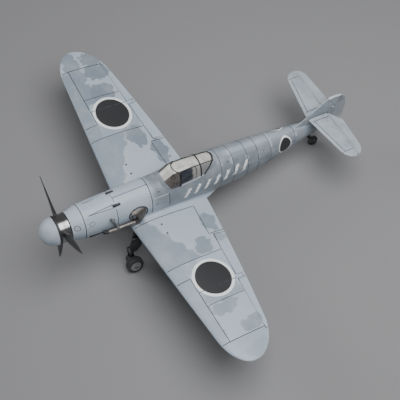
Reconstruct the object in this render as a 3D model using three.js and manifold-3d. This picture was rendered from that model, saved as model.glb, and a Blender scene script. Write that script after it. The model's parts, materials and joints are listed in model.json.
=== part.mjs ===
// Display model of a low-wing, single-engine propeller fighter on a tail-wheel undercarriage, scale 1:48.
// Millimetres, +Z up. The aircraft frame has its nose towards -Y, its port (left) side towards +X,
// the spinner tip at y = 0 and the propeller shaft along z = 0. The model stands on its three wheels,
// so the aircraft frame is pitched nose-up inside the part's own frame.
import * as THREE from "three";
import { mergeVertices } from "three/addons/utils/BufferGeometryUtils.js";
import Module from "manifold-3d";

const wasm = await Module();
wasm.setup();

// ---- driving dimensions -------------------------------------------------------------------------
const rad = THREE.MathUtils.degToRad;
const PITCH = rad(10.7); // nose-up attitude on the wheels
const HALF_SPAN = 104.6;
const FIT = 0.15; // gap between glued pieces
const PLAY = 0.3; // gap round a moving piece
const WALL = 1.1; // moulded shell thickness

// spinner and propeller
const SPINNER_R = 7.6;
const DOME_END = 8.5;
const RING = { front: 8.9, rear: 14.7 };
const BLADE = { tip: 28.6, y: 11.3, first: 31.2, pitch: rad(17) };
// distance from the shaft, width and thickness along a blade
const BLADE_SECTIONS = [
  [1.5, 2.2, 2.2],
  [7, 2.4, 2.0],
  [12, 4.3, 1.1],
  [18, 3.7, 0.8],
  [24, 2.4, 0.6],
  [BLADE.tip, 0.5, 0.4],
];
const SHAFT_R = 1.2;
const HUB = { front: 9.6, rear: 13.2, r: 4.2 };

// nose ring and fuselage
const NOSE_RING = { front: 15.1, rear: 21.6 };
const FUSELAGE_FRONT = 21.8;
const TAIL_POST = 176.2;
// y, half width, height of the widest line, top, bottom
const STATIONS = [
  [15, 7.6, 0.1, 8.0, -7.8],
  [22, 8.9, -0.2, 9.9, -10.6],
  [30, 9.3, -0.6, 10.5, -12.8],
  [40, 9.5, -0.8, 10.9, -13.8],
  [54, 9.7, -0.8, 11.3, -13.8],
  [68, 10.0, -0.6, 11.9, -13.2],
  [84, 10.2, -0.5, 13.6, -12.4],
  [99, 10.2, -0.3, 14.4, -11.6],
  [112, 10.1, 0, 13.4, -10.3],
  [126, 9.1, 1.2, 12.5, -8.4],
  [140, 7.3, 2.6, 11.9, -5.6],
  [154, 5.4, 4.0, 11.4, -2.4],
  [166, 3.7, 5.4, 10.9, 0.6],
  [TAIL_POST, 2.0, 6.6, 10.4, 3.2],
];

// wing: planform as functions of the distance from the centre line
const WING = { rootZ: -8.06, dihedral: rad(5.2), tipStart: 87, tipY: 65, rootDepth: 0.145, tipDepth: 0.115 };
const TIP_POWER = 2.15; // 2 is an ellipse, more is squarer
const wingZ = (x) => WING.rootZ + Math.abs(x) * Math.tan(WING.dihedral);
const leadingY = (x) => 46 + 0.08 * x;
const trailingY = (x) => 94.3 - 0.105 * x - 0.0005 * x * x;
const FLAP = { from: 34, to: 60 };
const AILERON = { from: 62.8, to: 92.4 };
const hingeY = (x) => 83.6 - 0.09 * (x - 34.6);
const HINGE_WIRE = { r: 0.3, from: 31.4, to: 93 };

// tail surfaces
const FIN = { baseY: 156.9, baseZ: 13.6, topY: 171.6, topZ: 28.4, depth: 1.2 };
const RUDDER = { hingeY: 177.5, bottom: 3.2, noseR: 0.95 };
// height and trailing edge of the rudder, from its foot up
const RUDDER_EDGE = [
  [RUDDER.bottom, 186.4],
  [6, 188.2],
  [10, 188.8],
  [15, 188.3],
  [20, 187.1],
  [24, 185.6],
  [27, 183.4],
  [29, 180.4],
];
const TAIL = { z: 16.1, rootX: 1.4, tipX: 32.7, tipStart: 26.5, tipY: 173, hingeY: 174.8, depth: 0.1 };
const tailLeadingY = (x) => 161.3 + 0.19 * x;
const tailTrailingY = (x) => 181.3 - 0.065 * x;

// undercarriage, placed in the part's frame because it stands upright on the floor
const WHEEL = { r: 5, width: 4.4, x: 19.6, y: 47.2, z: -33.7, camber: rad(18), shoulder: 1.5, sides: 24 };
const DRUM = { inner: -6.6, outer: -2.7, r: 2.7 };
const TAIL_WHEEL = { r: 3.3, width: 2.4, y: 175, z: -12.6, sides: 16 };
const AXLE_R = 0.8;

// ---- materials ----------------------------------------------------------------------------------
const paint = (color, roughness = 0.45, metalness = 0) =>
  new THREE.MeshStandardMaterial({ color, roughness, metalness });
const SKIN = paint(0xa7b0b9);
const SIDE = paint(0x858e98);
const METAL = paint(0x6f6f70, 0.3, 1);
const DARK_METAL = paint(0x2c2c2e, 0.4, 0.6);
const BLACK = paint(0x1c1c1d, 0.6);
const RUBBER = paint(0x18181a, 0.85);
const CLEAR = new THREE.MeshStandardMaterial({
  color: 0xd9d6cc,
  roughness: 0.08,
  transparent: true,
  opacity: 0.45,
});
const INTERIOR = paint(0x4a4d50, 0.7);

// ---- solids -------------------------------------------------------------------------------------
const at = (x, y, z) => new THREE.Vector3(x, y, z);

// A manifold solid from a closed geometry, with its faces turned outwards.
function solid(geometry) {
  const bare = geometry.clone();
  bare.deleteAttribute("normal");
  bare.deleteAttribute("uv");
  const merged = mergeVertices(bare, 1e-4);
  const vertProperties = merged.attributes.position.array;
  const triVerts = new Uint32Array(merged.index.array);
  const made = new wasm.Manifold(new wasm.Mesh({ numProp: 3, vertProperties, triVerts }));
  if (made.volume() > 0) return made;
  for (let i = 0; i < triVerts.length; i += 3)
    [triVerts[i + 1], triVerts[i + 2]] = [triVerts[i + 2], triVerts[i + 1]];
  return new wasm.Manifold(new wasm.Mesh({ numProp: 3, vertProperties, triVerts }));
}

function geometryOf(manifold) {
  const mesh = manifold.getMesh();
  const points = new Float32Array(mesh.numVert * 3);
  for (let i = 0; i < mesh.numVert; i++)
    points.set(mesh.vertProperties.subarray(i * mesh.numProp, i * mesh.numProp + 3), i * 3);
  const geometry = new THREE.BufferGeometry();
  geometry.setAttribute("position", new THREE.BufferAttribute(points, 3));
  geometry.setIndex(new THREE.BufferAttribute(mesh.triVerts, 1));
  geometry.computeVertexNormals();
  return geometry;
}

const cut = (body, ...tools) => tools.reduce((left, tool) => left.subtract(tool), body);
const join = (body, ...others) => others.reduce((all, other) => all.add(other), body);

function box(x0, x1, y0, y1, z0, z1) {
  const geometry = new THREE.BoxGeometry(x1 - x0, y1 - y0, z1 - z0);
  return solid(geometry.translate((x0 + x1) / 2, (y0 + y1) / 2, (z0 + z1) / 2));
}

// A round bar or cone between two points.
function bar(from, to, r0, r1 = r0, sides = 12) {
  const along = to.clone().sub(from);
  const geometry = new THREE.CylinderGeometry(r1, r0, along.length(), sides);
  geometry.translate(0, along.length() / 2, 0);
  geometry.applyQuaternion(new THREE.Quaternion().setFromUnitVectors(at(0, 1, 0), along.normalize()));
  return solid(geometry.translate(from.x, from.y, from.z));
}

// A solid turned about the propeller axis from [radius, y] points.
function turned(profile, sides) {
  const points = profile.map(([r, y]) => new THREE.Vector2(r, y));
  return solid(new THREE.LatheGeometry(points, sides));
}

// A closed body through rings of points, each ring closed by a fan.
function loft(rings) {
  const count = rings[0].length;
  const points = rings.flat();
  const faces = [];
  for (let ring = 0; ring + 1 < rings.length; ring++)
    for (let i = 0; i < count; i++) {
      const a = ring * count + i;
      const b = ring * count + ((i + 1) % count);
      faces.push(a, b, a + count, b, b + count, a + count);
    }
  const last = (rings.length - 1) * count;
  for (let i = 1; i + 1 < count; i++) {
    faces.push(0, i + 1, i);
    faces.push(last, last + i, last + i + 1);
  }
  const geometry = new THREE.BufferGeometry().setFromPoints(points);
  geometry.setIndex(faces);
  return solid(geometry);
}

// An outline in the X-Z plane carried from y0 to y1.
function prismY(outline, y0, y1) {
  const shape = new THREE.Shape(outline.map(([x, z]) => new THREE.Vector2(x, z)));
  const geometry = new THREE.ExtrudeGeometry(shape, { depth: y1 - y0, bevelEnabled: false });
  return solid(geometry.rotateX(Math.PI / 2).translate(0, y1, 0));
}

// An outline in the Y-Z plane carried from x0 to x1.
function prismX(outline, x0, x1) {
  const shape = new THREE.Shape(outline.map(([y, z]) => new THREE.Vector2(y, z)));
  const geometry = new THREE.ExtrudeGeometry(shape, { depth: x1 - x0, bevelEnabled: false });
  const turn = new THREE.Matrix4().makeBasis(at(0, 1, 0), at(0, 0, 1), at(1, 0, 0));
  return solid(geometry.applyMatrix4(turn).translate(x0, 0, 0));
}

const mirrored = (manifold) => solid(geometryOf(manifold).scale(-1, 1, 1));

// Straight-line reading of the station table at y.
function sectionAt(y) {
  const next = STATIONS.findIndex((row) => row[0] >= y);
  const above = STATIONS[next < 0 ? STATIONS.length - 1 : next];
  const below = STATIONS[Math.max(0, (next < 0 ? STATIONS.length : next) - 1)];
  const share = above === below ? 0 : (y - below[0]) / (above[0] - below[0]);
  return below.map((value, i) => value + (above[i] - value) * share);
}

// Fuselage skin from y0 to y1, moved in or out by grow.
function hull(y0, y1, grow = 0, sides = 20) {
  const stops = [y0, ...STATIONS.map((row) => row[0]).filter((y) => y > y0 + 1 && y < y1 - 1), y1];
  const rings = stops.map((y) => {
    const [, half, wide, top, bottom] = sectionAt(y);
    return Array.from({ length: sides }, (_, i) => {
      const turn = (i / sides) * 2 * Math.PI;
      const height = Math.sin(turn) > 0 ? top - wide : wide - bottom;
      return at((half + grow) * Math.cos(turn), y, wide + (height + grow) * Math.sin(turn));
    });
  });
  return loft(rings);
}

// Half depth of a symmetric aerofoil of unit chord and unit depth at the fraction c of the chord.
const aerofoil = (c) =>
  5 * (0.2969 * Math.sqrt(c) - 0.126 * c - 0.3516 * c ** 2 + 0.2843 * c ** 3 - 0.1036 * c ** 4);

// A lifting surface through chords {x, lead, trail, z, depth}; grow moves its skin out.
function surface(chords, grow = 0, steps = 7) {
  const fractions = Array.from({ length: steps + 1 }, (_, i) => (1 - Math.cos((i / steps) * Math.PI)) / 2);
  const rings = chords.map(({ x, lead, trail, z, depth }) => {
    const chord = trail - lead;
    const skin = (c, side) => {
      const half = Math.max(aerofoil(c) * depth * chord, 0.16) + grow;
      return at(x, lead - grow + c * (chord + 2 * grow), z + side * half);
    };
    return [...fractions.map((c) => skin(c, 1)), ...fractions.toReversed().map((c) => skin(c, -1))];
  });
  return loft(rings);
}

// The hollow of a lifting surface between two fractions of its chord, WALL inside its skin.
function hollow(chords, fractions) {
  const rings = chords.map(({ x, lead, trail, z, depth }) => {
    const chord = trail - lead;
    const skin = (c, side) => at(x, lead + c * chord, z + side * (aerofoil(c) * depth * chord - WALL));
    return [...fractions.map((c) => skin(c, 1)), ...fractions.toReversed().map((c) => skin(c, -1))];
  });
  return loft(rings);
}

// Share of the chord left at x, where a tip rounds off between start and end.
function tipCurve(x, start, end) {
  const along = Math.max(0, x - start) / (end - start);
  return Math.max(1 - along ** TIP_POWER, 0) ** (1 / TIP_POWER);
}

function wingChord(x) {
  const round = tipCurve(x, WING.tipStart, HALF_SPAN + 0.02);
  const lead = WING.tipY - (WING.tipY - leadingY(x)) * round;
  const trail = WING.tipY + (trailingY(x) - WING.tipY) * round;
  const depth = THREE.MathUtils.lerp(WING.rootDepth, WING.tipDepth, x / HALF_SPAN);
  return { x, lead, trail, z: wingZ(x), depth };
}

function tailChord(x) {
  const round = tipCurve(x, TAIL.tipStart, TAIL.tipX + 0.02);
  const lead = TAIL.tipY - (TAIL.tipY - tailLeadingY(x)) * round;
  const trail = TAIL.tipY + (tailTrailingY(x) - TAIL.tipY) * round;
  return { x, lead, trail, z: TAIL.z, depth: TAIL.depth };
}

// ---- scene graph --------------------------------------------------------------------------------
const part = new THREE.Group();
const airframe = new THREE.Group();
part.add(airframe);
airframe.rotation.x = -PITCH;

function piece(name, manifold, material, parent = airframe) {
  const mesh = new THREE.Mesh(geometryOf(manifold), material);
  mesh.name = name;
  parent.add(mesh);
  return mesh;
}

// Height of a point of the aircraft frame, before the model is set down on the floor.
const worldZ = (y, z) => -y * Math.sin(PITCH) + z * Math.cos(PITCH);
// Distance along the floor of the same point, and the way back into the aircraft frame.
const worldY = (y, z) => y * Math.cos(PITCH) + z * Math.sin(PITCH);
const airY = (y, z) => y * Math.cos(PITCH) - z * Math.sin(PITCH);
const airZ = (y, z) => y * Math.sin(PITCH) + z * Math.cos(PITCH);

// ---- spinner, propeller and shaft ---------------------------------------------------------------
const domeSteps = 6;
const dome = Array.from({ length: domeSteps + 1 }, (_, i) => {
  const turn = (i / domeSteps) * (Math.PI / 2);
  return [SPINNER_R * Math.sin(turn), DOME_END * (1 - Math.cos(turn))];
});
piece(
  "spinner_dome",
  turned([...dome, [SPINNER_R - WALL, DOME_END], [SPINNER_R - 2 * WALL, 5], [0, 4]], 24),
  SKIN,
);

const bladeSlots = [0, 1, 2].map((i) => rad(BLADE.first + i * 120));
const outwards = (turn, r) => at(r * Math.cos(turn), BLADE.y, r * Math.sin(turn));
const ringShell = turned(
  [
    [SPINNER_R - WALL, RING.front],
    [SPINNER_R, RING.front],
    [SPINNER_R, RING.rear],
    [SHAFT_R + FIT, RING.rear],
    [SHAFT_R + FIT, RING.rear - 0.9],
    [SPINNER_R - WALL, RING.rear - 0.9],
    [SPINNER_R - WALL, RING.front],
  ],
  24,
);
piece(
  "spinner_backplate",
  cut(ringShell, ...bladeSlots.map((turn) => bar(outwards(turn, 4), outwards(turn, 9), 1.7))),
  METAL,
);

// One blade along +X: thin sections that narrow to a point and untwist towards the tip.
function blade() {
  const corners = 6;
  const rings = BLADE_SECTIONS.map(([r, width, depth]) => {
    const twist = BLADE.pitch * (1.9 - r / BLADE.tip);
    return Array.from({ length: corners }, (_, k) => {
      const turn = (k / corners) * 2 * Math.PI;
      const across = (width / 2) * Math.cos(turn);
      const thick = (depth / 2) * Math.sin(turn);
      const y = across * Math.sin(twist) - thick * Math.cos(twist);
      const z = across * Math.cos(twist) + thick * Math.sin(twist);
      return at(r, BLADE.y + y, z);
    });
  });
  return geometryOf(loft(rings));
}
const blades = bladeSlots.map((turn) => solid(blade().rotateY(-turn)));
const hub = bar(at(0, HUB.front, 0), at(0, HUB.rear, 0), HUB.r, HUB.r, 18);
const hubBore = bar(at(0, HUB.front - 1, 0), at(0, HUB.rear + 1, 0), SHAFT_R + 0.1);
piece("propeller", cut(join(hub, ...blades), hubBore), DARK_METAL);

const SHAFT = { front: 9.2, rear: 25.4, headRear: 27, headR: 2.4 };
const shaftRod = bar(at(0, SHAFT.front, 0), at(0, SHAFT.rear, 0), SHAFT_R);
const shaftHead = bar(at(0, SHAFT.rear - 0.2, 0), at(0, SHAFT.headRear, 0), SHAFT.headR);
piece("propeller_shaft", join(shaftRod, shaftHead), METAL);

// ---- nose ring, shaft bush and fuselage shells --------------------------------------------------
const BUSH = { r: 3.2, flangeFront: 22.1, flangeRear: 23.1, rear: 24.6 };
const alongShaft = (r) => bar(at(0, NOSE_RING.front - 1, 0), at(0, BUSH.rear + 1, 0), r, r, 16);
const noseInside = hull(NOSE_RING.front + WALL, NOSE_RING.rear + 1, -WALL);
const noseBore = alongShaft(BUSH.r + FIT);
piece("nose_ring", cut(hull(NOSE_RING.front, NOSE_RING.rear), noseInside, noseBore), SKIN);

const bushBore = alongShaft(SHAFT_R + 0.1);
const bushBarrel = bar(at(0, NOSE_RING.front + 0.2, 0), at(0, BUSH.rear, 0), BUSH.r, BUSH.r, 16);
const bushFlange = hull(BUSH.flangeFront, BUSH.flangeRear, -WALL - FIT);
piece("shaft_bush", cut(join(bushBarrel, bushFlange), bushBore), BLACK);

const finOutline = [
  [FIN.baseY - 8, 8],
  [FIN.baseY - 3, 11.5],
  [FIN.baseY, FIN.baseZ],
  [FIN.topY, FIN.topZ],
  [TAIL_POST, 23.4],
  [TAIL_POST, 6],
];
const fin = prismX(finOutline, -FIN.depth, FIN.depth);
const outer = join(hull(FUSELAGE_FRONT, TAIL_POST), fin);
const inner = hull(FUSELAGE_FRONT - 1, 160, -WALL);

const BELLY = { front: 48, rear: 92, top: -8.6 };
const bellyBox = (grow) => box(-20, 20, BELLY.front - grow, BELLY.rear + grow, -30, BELLY.top + grow);

// The wing as one body from tip to tip; grow moves its skin.
const WING_STOPS = [7, 20, 34, 48, 61, 75, 87, 94, 99, 102.4, HALF_SPAN];
function wingBody(grow = 0) {
  const right = WING_STOPS.map(wingChord);
  const left = right.toReversed().map((chord) => ({ ...chord, x: -chord.x }));
  return surface([...left, ...right], grow);
}
const rootSlot = wingBody(FIT).intersect(box(-13, 13, 30, 110, -30, 30));

// Cockpit glazing rings: y, sill half width, sill z, shoulder half width, shoulder z, crown z
const CANOPY = [
  [63.6, 6.4, 5, 3.2, 8.6, 9.4],
  [73.2, 7.2, 5, 4.1, 16.9, 18.1],
  [81, 7.3, 5, 4.3, 16.8, 18.1],
  [89, 7.2, 5, 4.2, 16.3, 17.6],
  [98.8, 5.6, 5, 3.2, 15.3, 16.6],
];
function glazing(grow, y0 = 0) {
  const rings = CANOPY.map(([y, sill, sillZ, shoulder, shoulderZ, crown], i) => {
    const place = i === 0 ? y - 2 * grow : i === CANOPY.length - 1 ? y + grow : y;
    const side = [
      [sill + grow, sillZ],
      [sill + grow - 0.3, (sillZ + shoulderZ) / 2],
      [shoulder + 1.1 + grow, shoulderZ - 1.6 + grow * 0.3],
      [shoulder + grow * 0.6, shoulderZ + grow * 0.8],
      [shoulder * 0.5, crown - 0.25 + grow],
    ];
    const opposite = side.toReversed().map(([x, z]) => [-x, z]);
    return [...side, [0, crown + grow], ...opposite].map(([x, z]) => at(x, place + y0, z));
  });
  return loft(rings);
}
const glazingInside = glazing(-0.8);
const glazingOutside = glazing(0);
piece("canopy", cut(glazingOutside, glazingInside, hull(50, 120, FIT)), CLEAR);

// Cowling gun ports, their troughs, and the slots behind the exhaust stubs.
const GUN = { x: 4.1, y: 39.4, z: 9.7, r: 0.75 };
const TROUGH = { x: 4.3, y: 23, z: 9.15, r: 0.55 };
const gunPoint = (side, back) => at(side * GUN.x, GUN.y + back, GUN.z);
const gunCuts = [-1, 1].flatMap((side) => [
  bar(gunPoint(side, -2), gunPoint(side, 3), GUN.r + FIT),
  bar(at(side * TROUGH.x, TROUGH.y, TROUGH.z), gunPoint(side, -1), TROUGH.r, TROUGH.r + 0.3, 8),
]);
const EXHAUST = { from: 23.6, to: 32.4, z: -3.4, stubs: 6, half: 0.8, reach: 9.1 };
function strip(x0, x1, gap) {
  const half = EXHAUST.half - gap;
  return box(x0, x1, EXHAUST.from + gap, EXHAUST.to - gap, EXHAUST.z - half, EXHAUST.z + half);
}
const exhaustCuts = [strip(6, 12, 0), strip(-12, -6, 0)];

const acrossTail = (y, reach, r, sides) => bar(at(-reach, y, TAIL.z), at(reach, y, TAIL.z), r, r, sides);
const elevatorSlot = acrossTail(TAIL.hingeY, 3, 0.75, 12);
const TAIL_PIN = { y: 167, r: 0.6 };
const tailSocket = acrossTail(TAIL_PIN.y, 3, TAIL_PIN.r + FIT, 12);
const TAIL_LEG = { top: at(0, 167.4, 2.6), foot: at(0, 170, -5.8), r: 0.85 };
const tailLegSocket = bar(TAIL_LEG.top.clone().lerp(TAIL_LEG.foot, -0.1), TAIL_LEG.foot, TAIL_LEG.r + FIT);
const LUGS = [6.4, 12.4, 20.4];
const RUDDER_PIN_R = 0.35;
const LUG_HALF = 0.75;
const onHinge = (z0, z1, r, sides) => bar(at(0, RUDDER.hingeY, z0), at(0, RUDDER.hingeY, z1), r, r, sides);
const lug = (z) =>
  join(box(-LUG_HALF, LUG_HALF, TAIL_POST - 0.4, RUDDER.hingeY, z, z + 1), onHinge(z, z + 1, LUG_HALF, 12));
const pinHole = onHinge(0, 40, RUDDER_PIN_R + 0.1, 8);

const shell = cut(
  join(outer, ...LUGS.map(lug)),
  inner,
  glazingInside,
  bellyBox(FIT),
  rootSlot,
  elevatorSlot,
  tailSocket,
  tailLegSocket,
  pinHole,
  ...gunCuts,
  ...exhaustCuts,
);
piece("fuselage_left", shell.intersect(box(0.05, 30, 0, 200, -40, 40)), SIDE);
piece("fuselage_right", shell.intersect(box(-30, -0.05, 0, 200, -40, 40)), SIDE);

const SIDES = [[1, "left"], [-1, "right"]];
const stubs = Array.from({ length: EXHAUST.stubs }, (_, i) => {
  const y = EXHAUST.from + ((i + 0.5) * (EXHAUST.to - EXHAUST.from)) / EXHAUST.stubs;
  return bar(at(7.6, y - 0.3, EXHAUST.z), at(EXHAUST.reach, y, EXHAUST.z), 0.5, 0.58, 8);
});
const exhaust = join(strip(7.2, 8, 0.2), ...stubs);
for (const [side, name] of SIDES) {
  const barrel = bar(gunPoint(side, -1.2), gunPoint(side, 2.8), GUN.r, GUN.r, 12);
  const muzzle = bar(gunPoint(side, -2), gunPoint(side, 0.8), GUN.r / 2, GUN.r / 2, 8);
  piece("gun_" + name, cut(barrel, muzzle), BLACK);
  piece("exhaust_" + name, side > 0 ? exhaust : mirrored(exhaust), DARK_METAL);
}

// ---- cockpit ------------------------------------------------------------------------------------
const TUB = { half: 5.6, front: 70.5, rear: 96, floor: -4, top: 6.6, wall: 0.8 };
const tubBox = (inset, floor, top) =>
  box(-TUB.half + inset, TUB.half - inset, TUB.front + inset, TUB.rear - inset, floor, top);
const tub = cut(tubBox(0, TUB.floor - TUB.wall, TUB.top), tubBox(TUB.wall, TUB.floor, TUB.top + 1));
piece("cockpit_tub", tub, INTERIOR);
const seatOutline = [
  [80, -3.8],
  [89, -3.8],
  [91, 7.6],
  [89.6, 7.8],
  [87.6, -1.2],
  [80.4, -1.6],
];
piece("seat", prismX(seatOutline, -3, 3), INTERIOR);
const panelOutline = [[-4.4, 6.8], [4.4, 6.8], [3.4, 9.6], [-3.4, 9.6]];
piece("instrument_panel", prismY(panelOutline, 71.4, 72.4), BLACK);
const STICK = { foot: at(0, 78.2, TUB.floor + 0.2), wrist: at(0, 77.6, 2.5), top: at(0, 77.4, 4.6) };
const stickRod = bar(STICK.foot, STICK.wrist, 0.45);
piece("control_stick", join(stickRod, bar(STICK.wrist, STICK.top, 0.75)), BLACK);

// ---- port-side air intake, its pipe and the fittings on the pipe --------------------------------
const PIPE = { x: 10.8, z: -2.6, r: 1.15, front: 33.4, rear: 48.4 };
// centre, half length along the airflow and half depth of each section of the scoop
const SCOOP = [
  [at(PIPE.x, PIPE.rear + 0.4, PIPE.z), 1.3, 1.3],
  [at(PIPE.x, 50.2, -2), 1.8, 1.6],
  [at(PIPE.x - 0.3, 51, -0.4), 2.8, 1.9],
  [at(PIPE.x - 0.9, 51.3, 1.6), 4.1, 2.0],
  [at(PIPE.x - 1.7, 51.3, 3.6), 4.7, 1.9],
  [at(PIPE.x - 2.6, 51.4, 5.2), 3.9, 1.2],
];
const scoopSides = 12;
const scoopRings = SCOOP.map(([centre, along, across], i) => {
  const lean = (i / (SCOOP.length - 1)) * (Math.PI / 2);
  return Array.from({ length: scoopSides }, (_, k) => {
    const turn = (k / scoopSides) * 2 * Math.PI;
    const u = along * Math.cos(turn);
    const x = centre.x + across * Math.sin(turn);
    return at(x, centre.y + u * Math.sin(lean), centre.z - u * Math.cos(lean));
  });
});
const scoopMouth = bar(at(PIPE.x - 1.4, 43, 3.2), at(PIPE.x - 1.4, 49.4, 3), 1.3, 0.9, 10);
piece("intake_scoop", cut(loft(scoopRings), scoopMouth, hull(40, 70, FIT), wingBody(FIT)), METAL);
const pipeFront = at(PIPE.x - 0.2, PIPE.front, PIPE.z + 0.2);
const pipe = bar(pipeFront, at(PIPE.x, PIPE.rear, PIPE.z), PIPE.r, PIPE.r, 14);
piece("intake_pipe", cut(pipe, wingBody(FIT), hull(22, 60, FIT)), METAL);
const ELBOW = at(PIPE.x - 0.4, 31, PIPE.z + 0.8);
const elbowStub = bar(ELBOW.clone().setZ(PIPE.z - 0.4), ELBOW.clone().setZ(PIPE.z + 2.4), 0.5, 0.5, 8);
const elbowRear = at(PIPE.x - 0.2, PIPE.front - 0.2, PIPE.z + 0.2);
const elbow = join(bar(ELBOW, elbowRear, 0.9, 1.1, 10), elbowStub);
piece("pipe_end_fitting", cut(elbow, hull(22, 45, FIT)), BLACK);
const STRAP = { foot: at(PIPE.x - 0.5, 38.6, PIPE.z + 1.7), head: at(8.7, 35, 6.4) };
const strap = join(
  bar(STRAP.foot, STRAP.head, 0.55, 0.6, 8),
  box(PIPE.x - 1.2, PIPE.x + 0.7, 37.8, 39.4, PIPE.z + PIPE.r + FIT, PIPE.z + PIPE.r + 1.2),
);
piece("pipe_strap", cut(strap, hull(22, 60, FIT)), BLACK);

// ---- chin oil cooler ----------------------------------------------------------------------------
const COOLER = { half: 4.3, wall: 1 };
const coolerOutline = [[29.5, -11], [30.8, -15.8], [40, -16.2], [45.5, -13.2], [46, -11]];
const coolerDuct = box(-COOLER.half + COOLER.wall, COOLER.half - COOLER.wall, 28, 47, -15.2, -13.6);
const coolerBody = cut(prismX(coolerOutline, -COOLER.half, COOLER.half), coolerDuct, hull(20, 60, FIT));
piece("oil_cooler", coolerBody, SKIN);

// ---- wing ---------------------------------------------------------------------------------------
const hingePoint = (x, side = 1) => at(side * x, hingeY(x), wingZ(x));
const HINGE_ALONG = hingePoint(90).sub(hingePoint(10)).normalize();
const noseRadius = (x) => {
  const { lead, trail, depth } = wingChord(x);
  return aerofoil((hingeY(x) - lead) / (trail - lead)) * depth * (trail - lead);
};

// A box square to the hinge line, from x0 to x1 along it, behind and around the hinge line.
function bay(x0, x1, gap, ahead = 0) {
  const from = hingePoint(x0);
  const length = hingePoint(x1).distanceTo(from);
  const geometry = new THREE.BoxGeometry(length + 2 * gap, 40, 16);
  geometry.translate(length / 2, 20 - ahead, 0);
  const back = at(0, 1, 0).addScaledVector(HINGE_ALONG, -HINGE_ALONG.y).normalize();
  const up = HINGE_ALONG.clone().cross(back);
  const frame = new THREE.Matrix4().makeBasis(HINGE_ALONG, back, up);
  return solid(geometry.applyMatrix4(frame).translate(from.x, from.y, from.z));
}
function noseBar(x0, x1, gap) {
  const extra = HINGE_ALONG.clone().multiplyScalar(gap);
  const from = hingePoint(x0).sub(extra);
  const to = hingePoint(x1).add(extra);
  return bar(from, to, noseRadius(x0) + gap, noseRadius(x1) + gap, 14);
}
const wireHoleR = HINGE_WIRE.r + 0.08;
const wireEnds = (extra) => [hingePoint(HINGE_WIRE.from - extra), hingePoint(HINGE_WIRE.to + extra)];
const wireHole = bar(...wireEnds(0.4), wireHoleR, wireHoleR, 8);

const core = hollow([13, 48, 75].map(wingChord), [0.14, 0.3, 0.45, 0.6]);
const flapBays = [FLAP, AILERON].flatMap(({ from, to }) => [bay(from, to, PLAY), noseBar(from, to, PLAY)]);
const portCuts = [core, wireHole, ...flapBays];
const starboardCuts = portCuts.map(mirrored);

const wing = cut(wingBody(), ...portCuts, ...starboardCuts);
// The joint between the upper and lower mouldings runs through the chord plane.
const BEYOND = 130;
const PART_GAP = 0.05;
const beyondZ = wingZ(BEYOND);
const aboveWing = prismY(
  [
    [FIT, WING.rootZ + PART_GAP],
    [BEYOND, beyondZ + PART_GAP],
    [BEYOND, 40],
    [FIT, 40],
  ],
  20,
  BEYOND,
);
const belowWing = prismY(
  [
    [0, WING.rootZ - PART_GAP],
    [BEYOND, beyondZ - PART_GAP],
    [BEYOND, -60],
    [-BEYOND, -60],
    [-BEYOND, beyondZ - PART_GAP],
  ],
  20,
  BEYOND,
);
const upperPort = cut(wing.intersect(aboveWing), inner, box(-1, 6, 0, 200, -30, 30));
piece("upper_wing_left", upperPort, SKIN);
piece("upper_wing_right", mirrored(upperPort), SKIN);

const bellyShell = cut(hull(FUSELAGE_FRONT, TAIL_POST), inner).intersect(bellyBox(0));
piece("lower_wing", join(bellyShell, cut(wing.intersect(belowWing), inner)), SKIN);

// Radiator housings under the wing, open to the front and the rear.
const RADIATOR = { inner: 15, outer: 31 };
const housingOutline = [[68, -9], [70, -12.4], [80, -12.2], [83, -9.4], [83, -6], [68, -6]];
const housing = prismX(housingOutline, RADIATOR.inner, RADIATOR.outer);
const duct = box(RADIATOR.inner + 1, RADIATOR.outer - 1, 60, 90, -11.4, -10.2);
const belowSkin = [
  [RADIATOR.inner, -30],
  [RADIATOR.outer, -30],
  [RADIATOR.outer, wingZ(RADIATOR.outer) - 1],
  [RADIATOR.inner, wingZ(RADIATOR.inner) - 1],
];
const radiator = cut(housing, duct, wingBody(FIT)).intersect(prismY(belowSkin, 60, 90));

for (const [side, name] of SIDES) {
  const place = (manifold) => (side > 0 ? manifold : mirrored(manifold));
  for (const [kind, { from, to }] of [["flap", FLAP], ["aileron", AILERON]]) {
    const rear = wingBody().intersect(bay(from, to, 0));
    const made = cut(join(rear, noseBar(from, to, 0)), wireHole);
    piece(kind + "_" + name, place(made), SKIN);
  }
  const wire = bar(...wireEnds(0), HINGE_WIRE.r, HINGE_WIRE.r, 8);
  piece("hinge_wire_" + name, place(wire), METAL);
  piece("radiator_" + name, place(radiator), SKIN);
}

// ---- tailplane, elevators and rudder ------------------------------------------------------------
const TAIL_STOPS = [TAIL.rootX, 8, 16, 24, 26.5, 29.6, 31.8, TAIL.tipX];
const tailBody = surface(TAIL_STOPS.map(tailChord));
const tailNoseR = (x) => {
  const { lead, trail, depth } = tailChord(Math.min(x, 31));
  return Math.max(aerofoil((TAIL.hingeY - lead) / (trail - lead)) * depth * (trail - lead), 0.62);
};
const tailNose = (x0, x1, gap) =>
  bar(at(x0, TAIL.hingeY, TAIL.z), at(x1, TAIL.hingeY, TAIL.z), tailNoseR(x0) + gap, tailNoseR(x1) + gap, 12);
const ELEVATOR = { rootX: TAIL.rootX + 0.6, endX: TAIL.tipX + 0.5, noseEndX: 32 };
const elevatorBox = (gap) => box(ELEVATOR.rootX - gap, ELEVATOR.endX, TAIL.hingeY, 190, 10, 22);
const ROOT_PAD = { front: 162.4, rear: 172, half: 0.9, outer: 3 };
const rootPad = box(
  TAIL.rootX - 0.1,
  ROOT_PAD.outer,
  ROOT_PAD.front,
  ROOT_PAD.rear,
  TAIL.z - ROOT_PAD.half,
  TAIL.z + ROOT_PAD.half,
);
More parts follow.
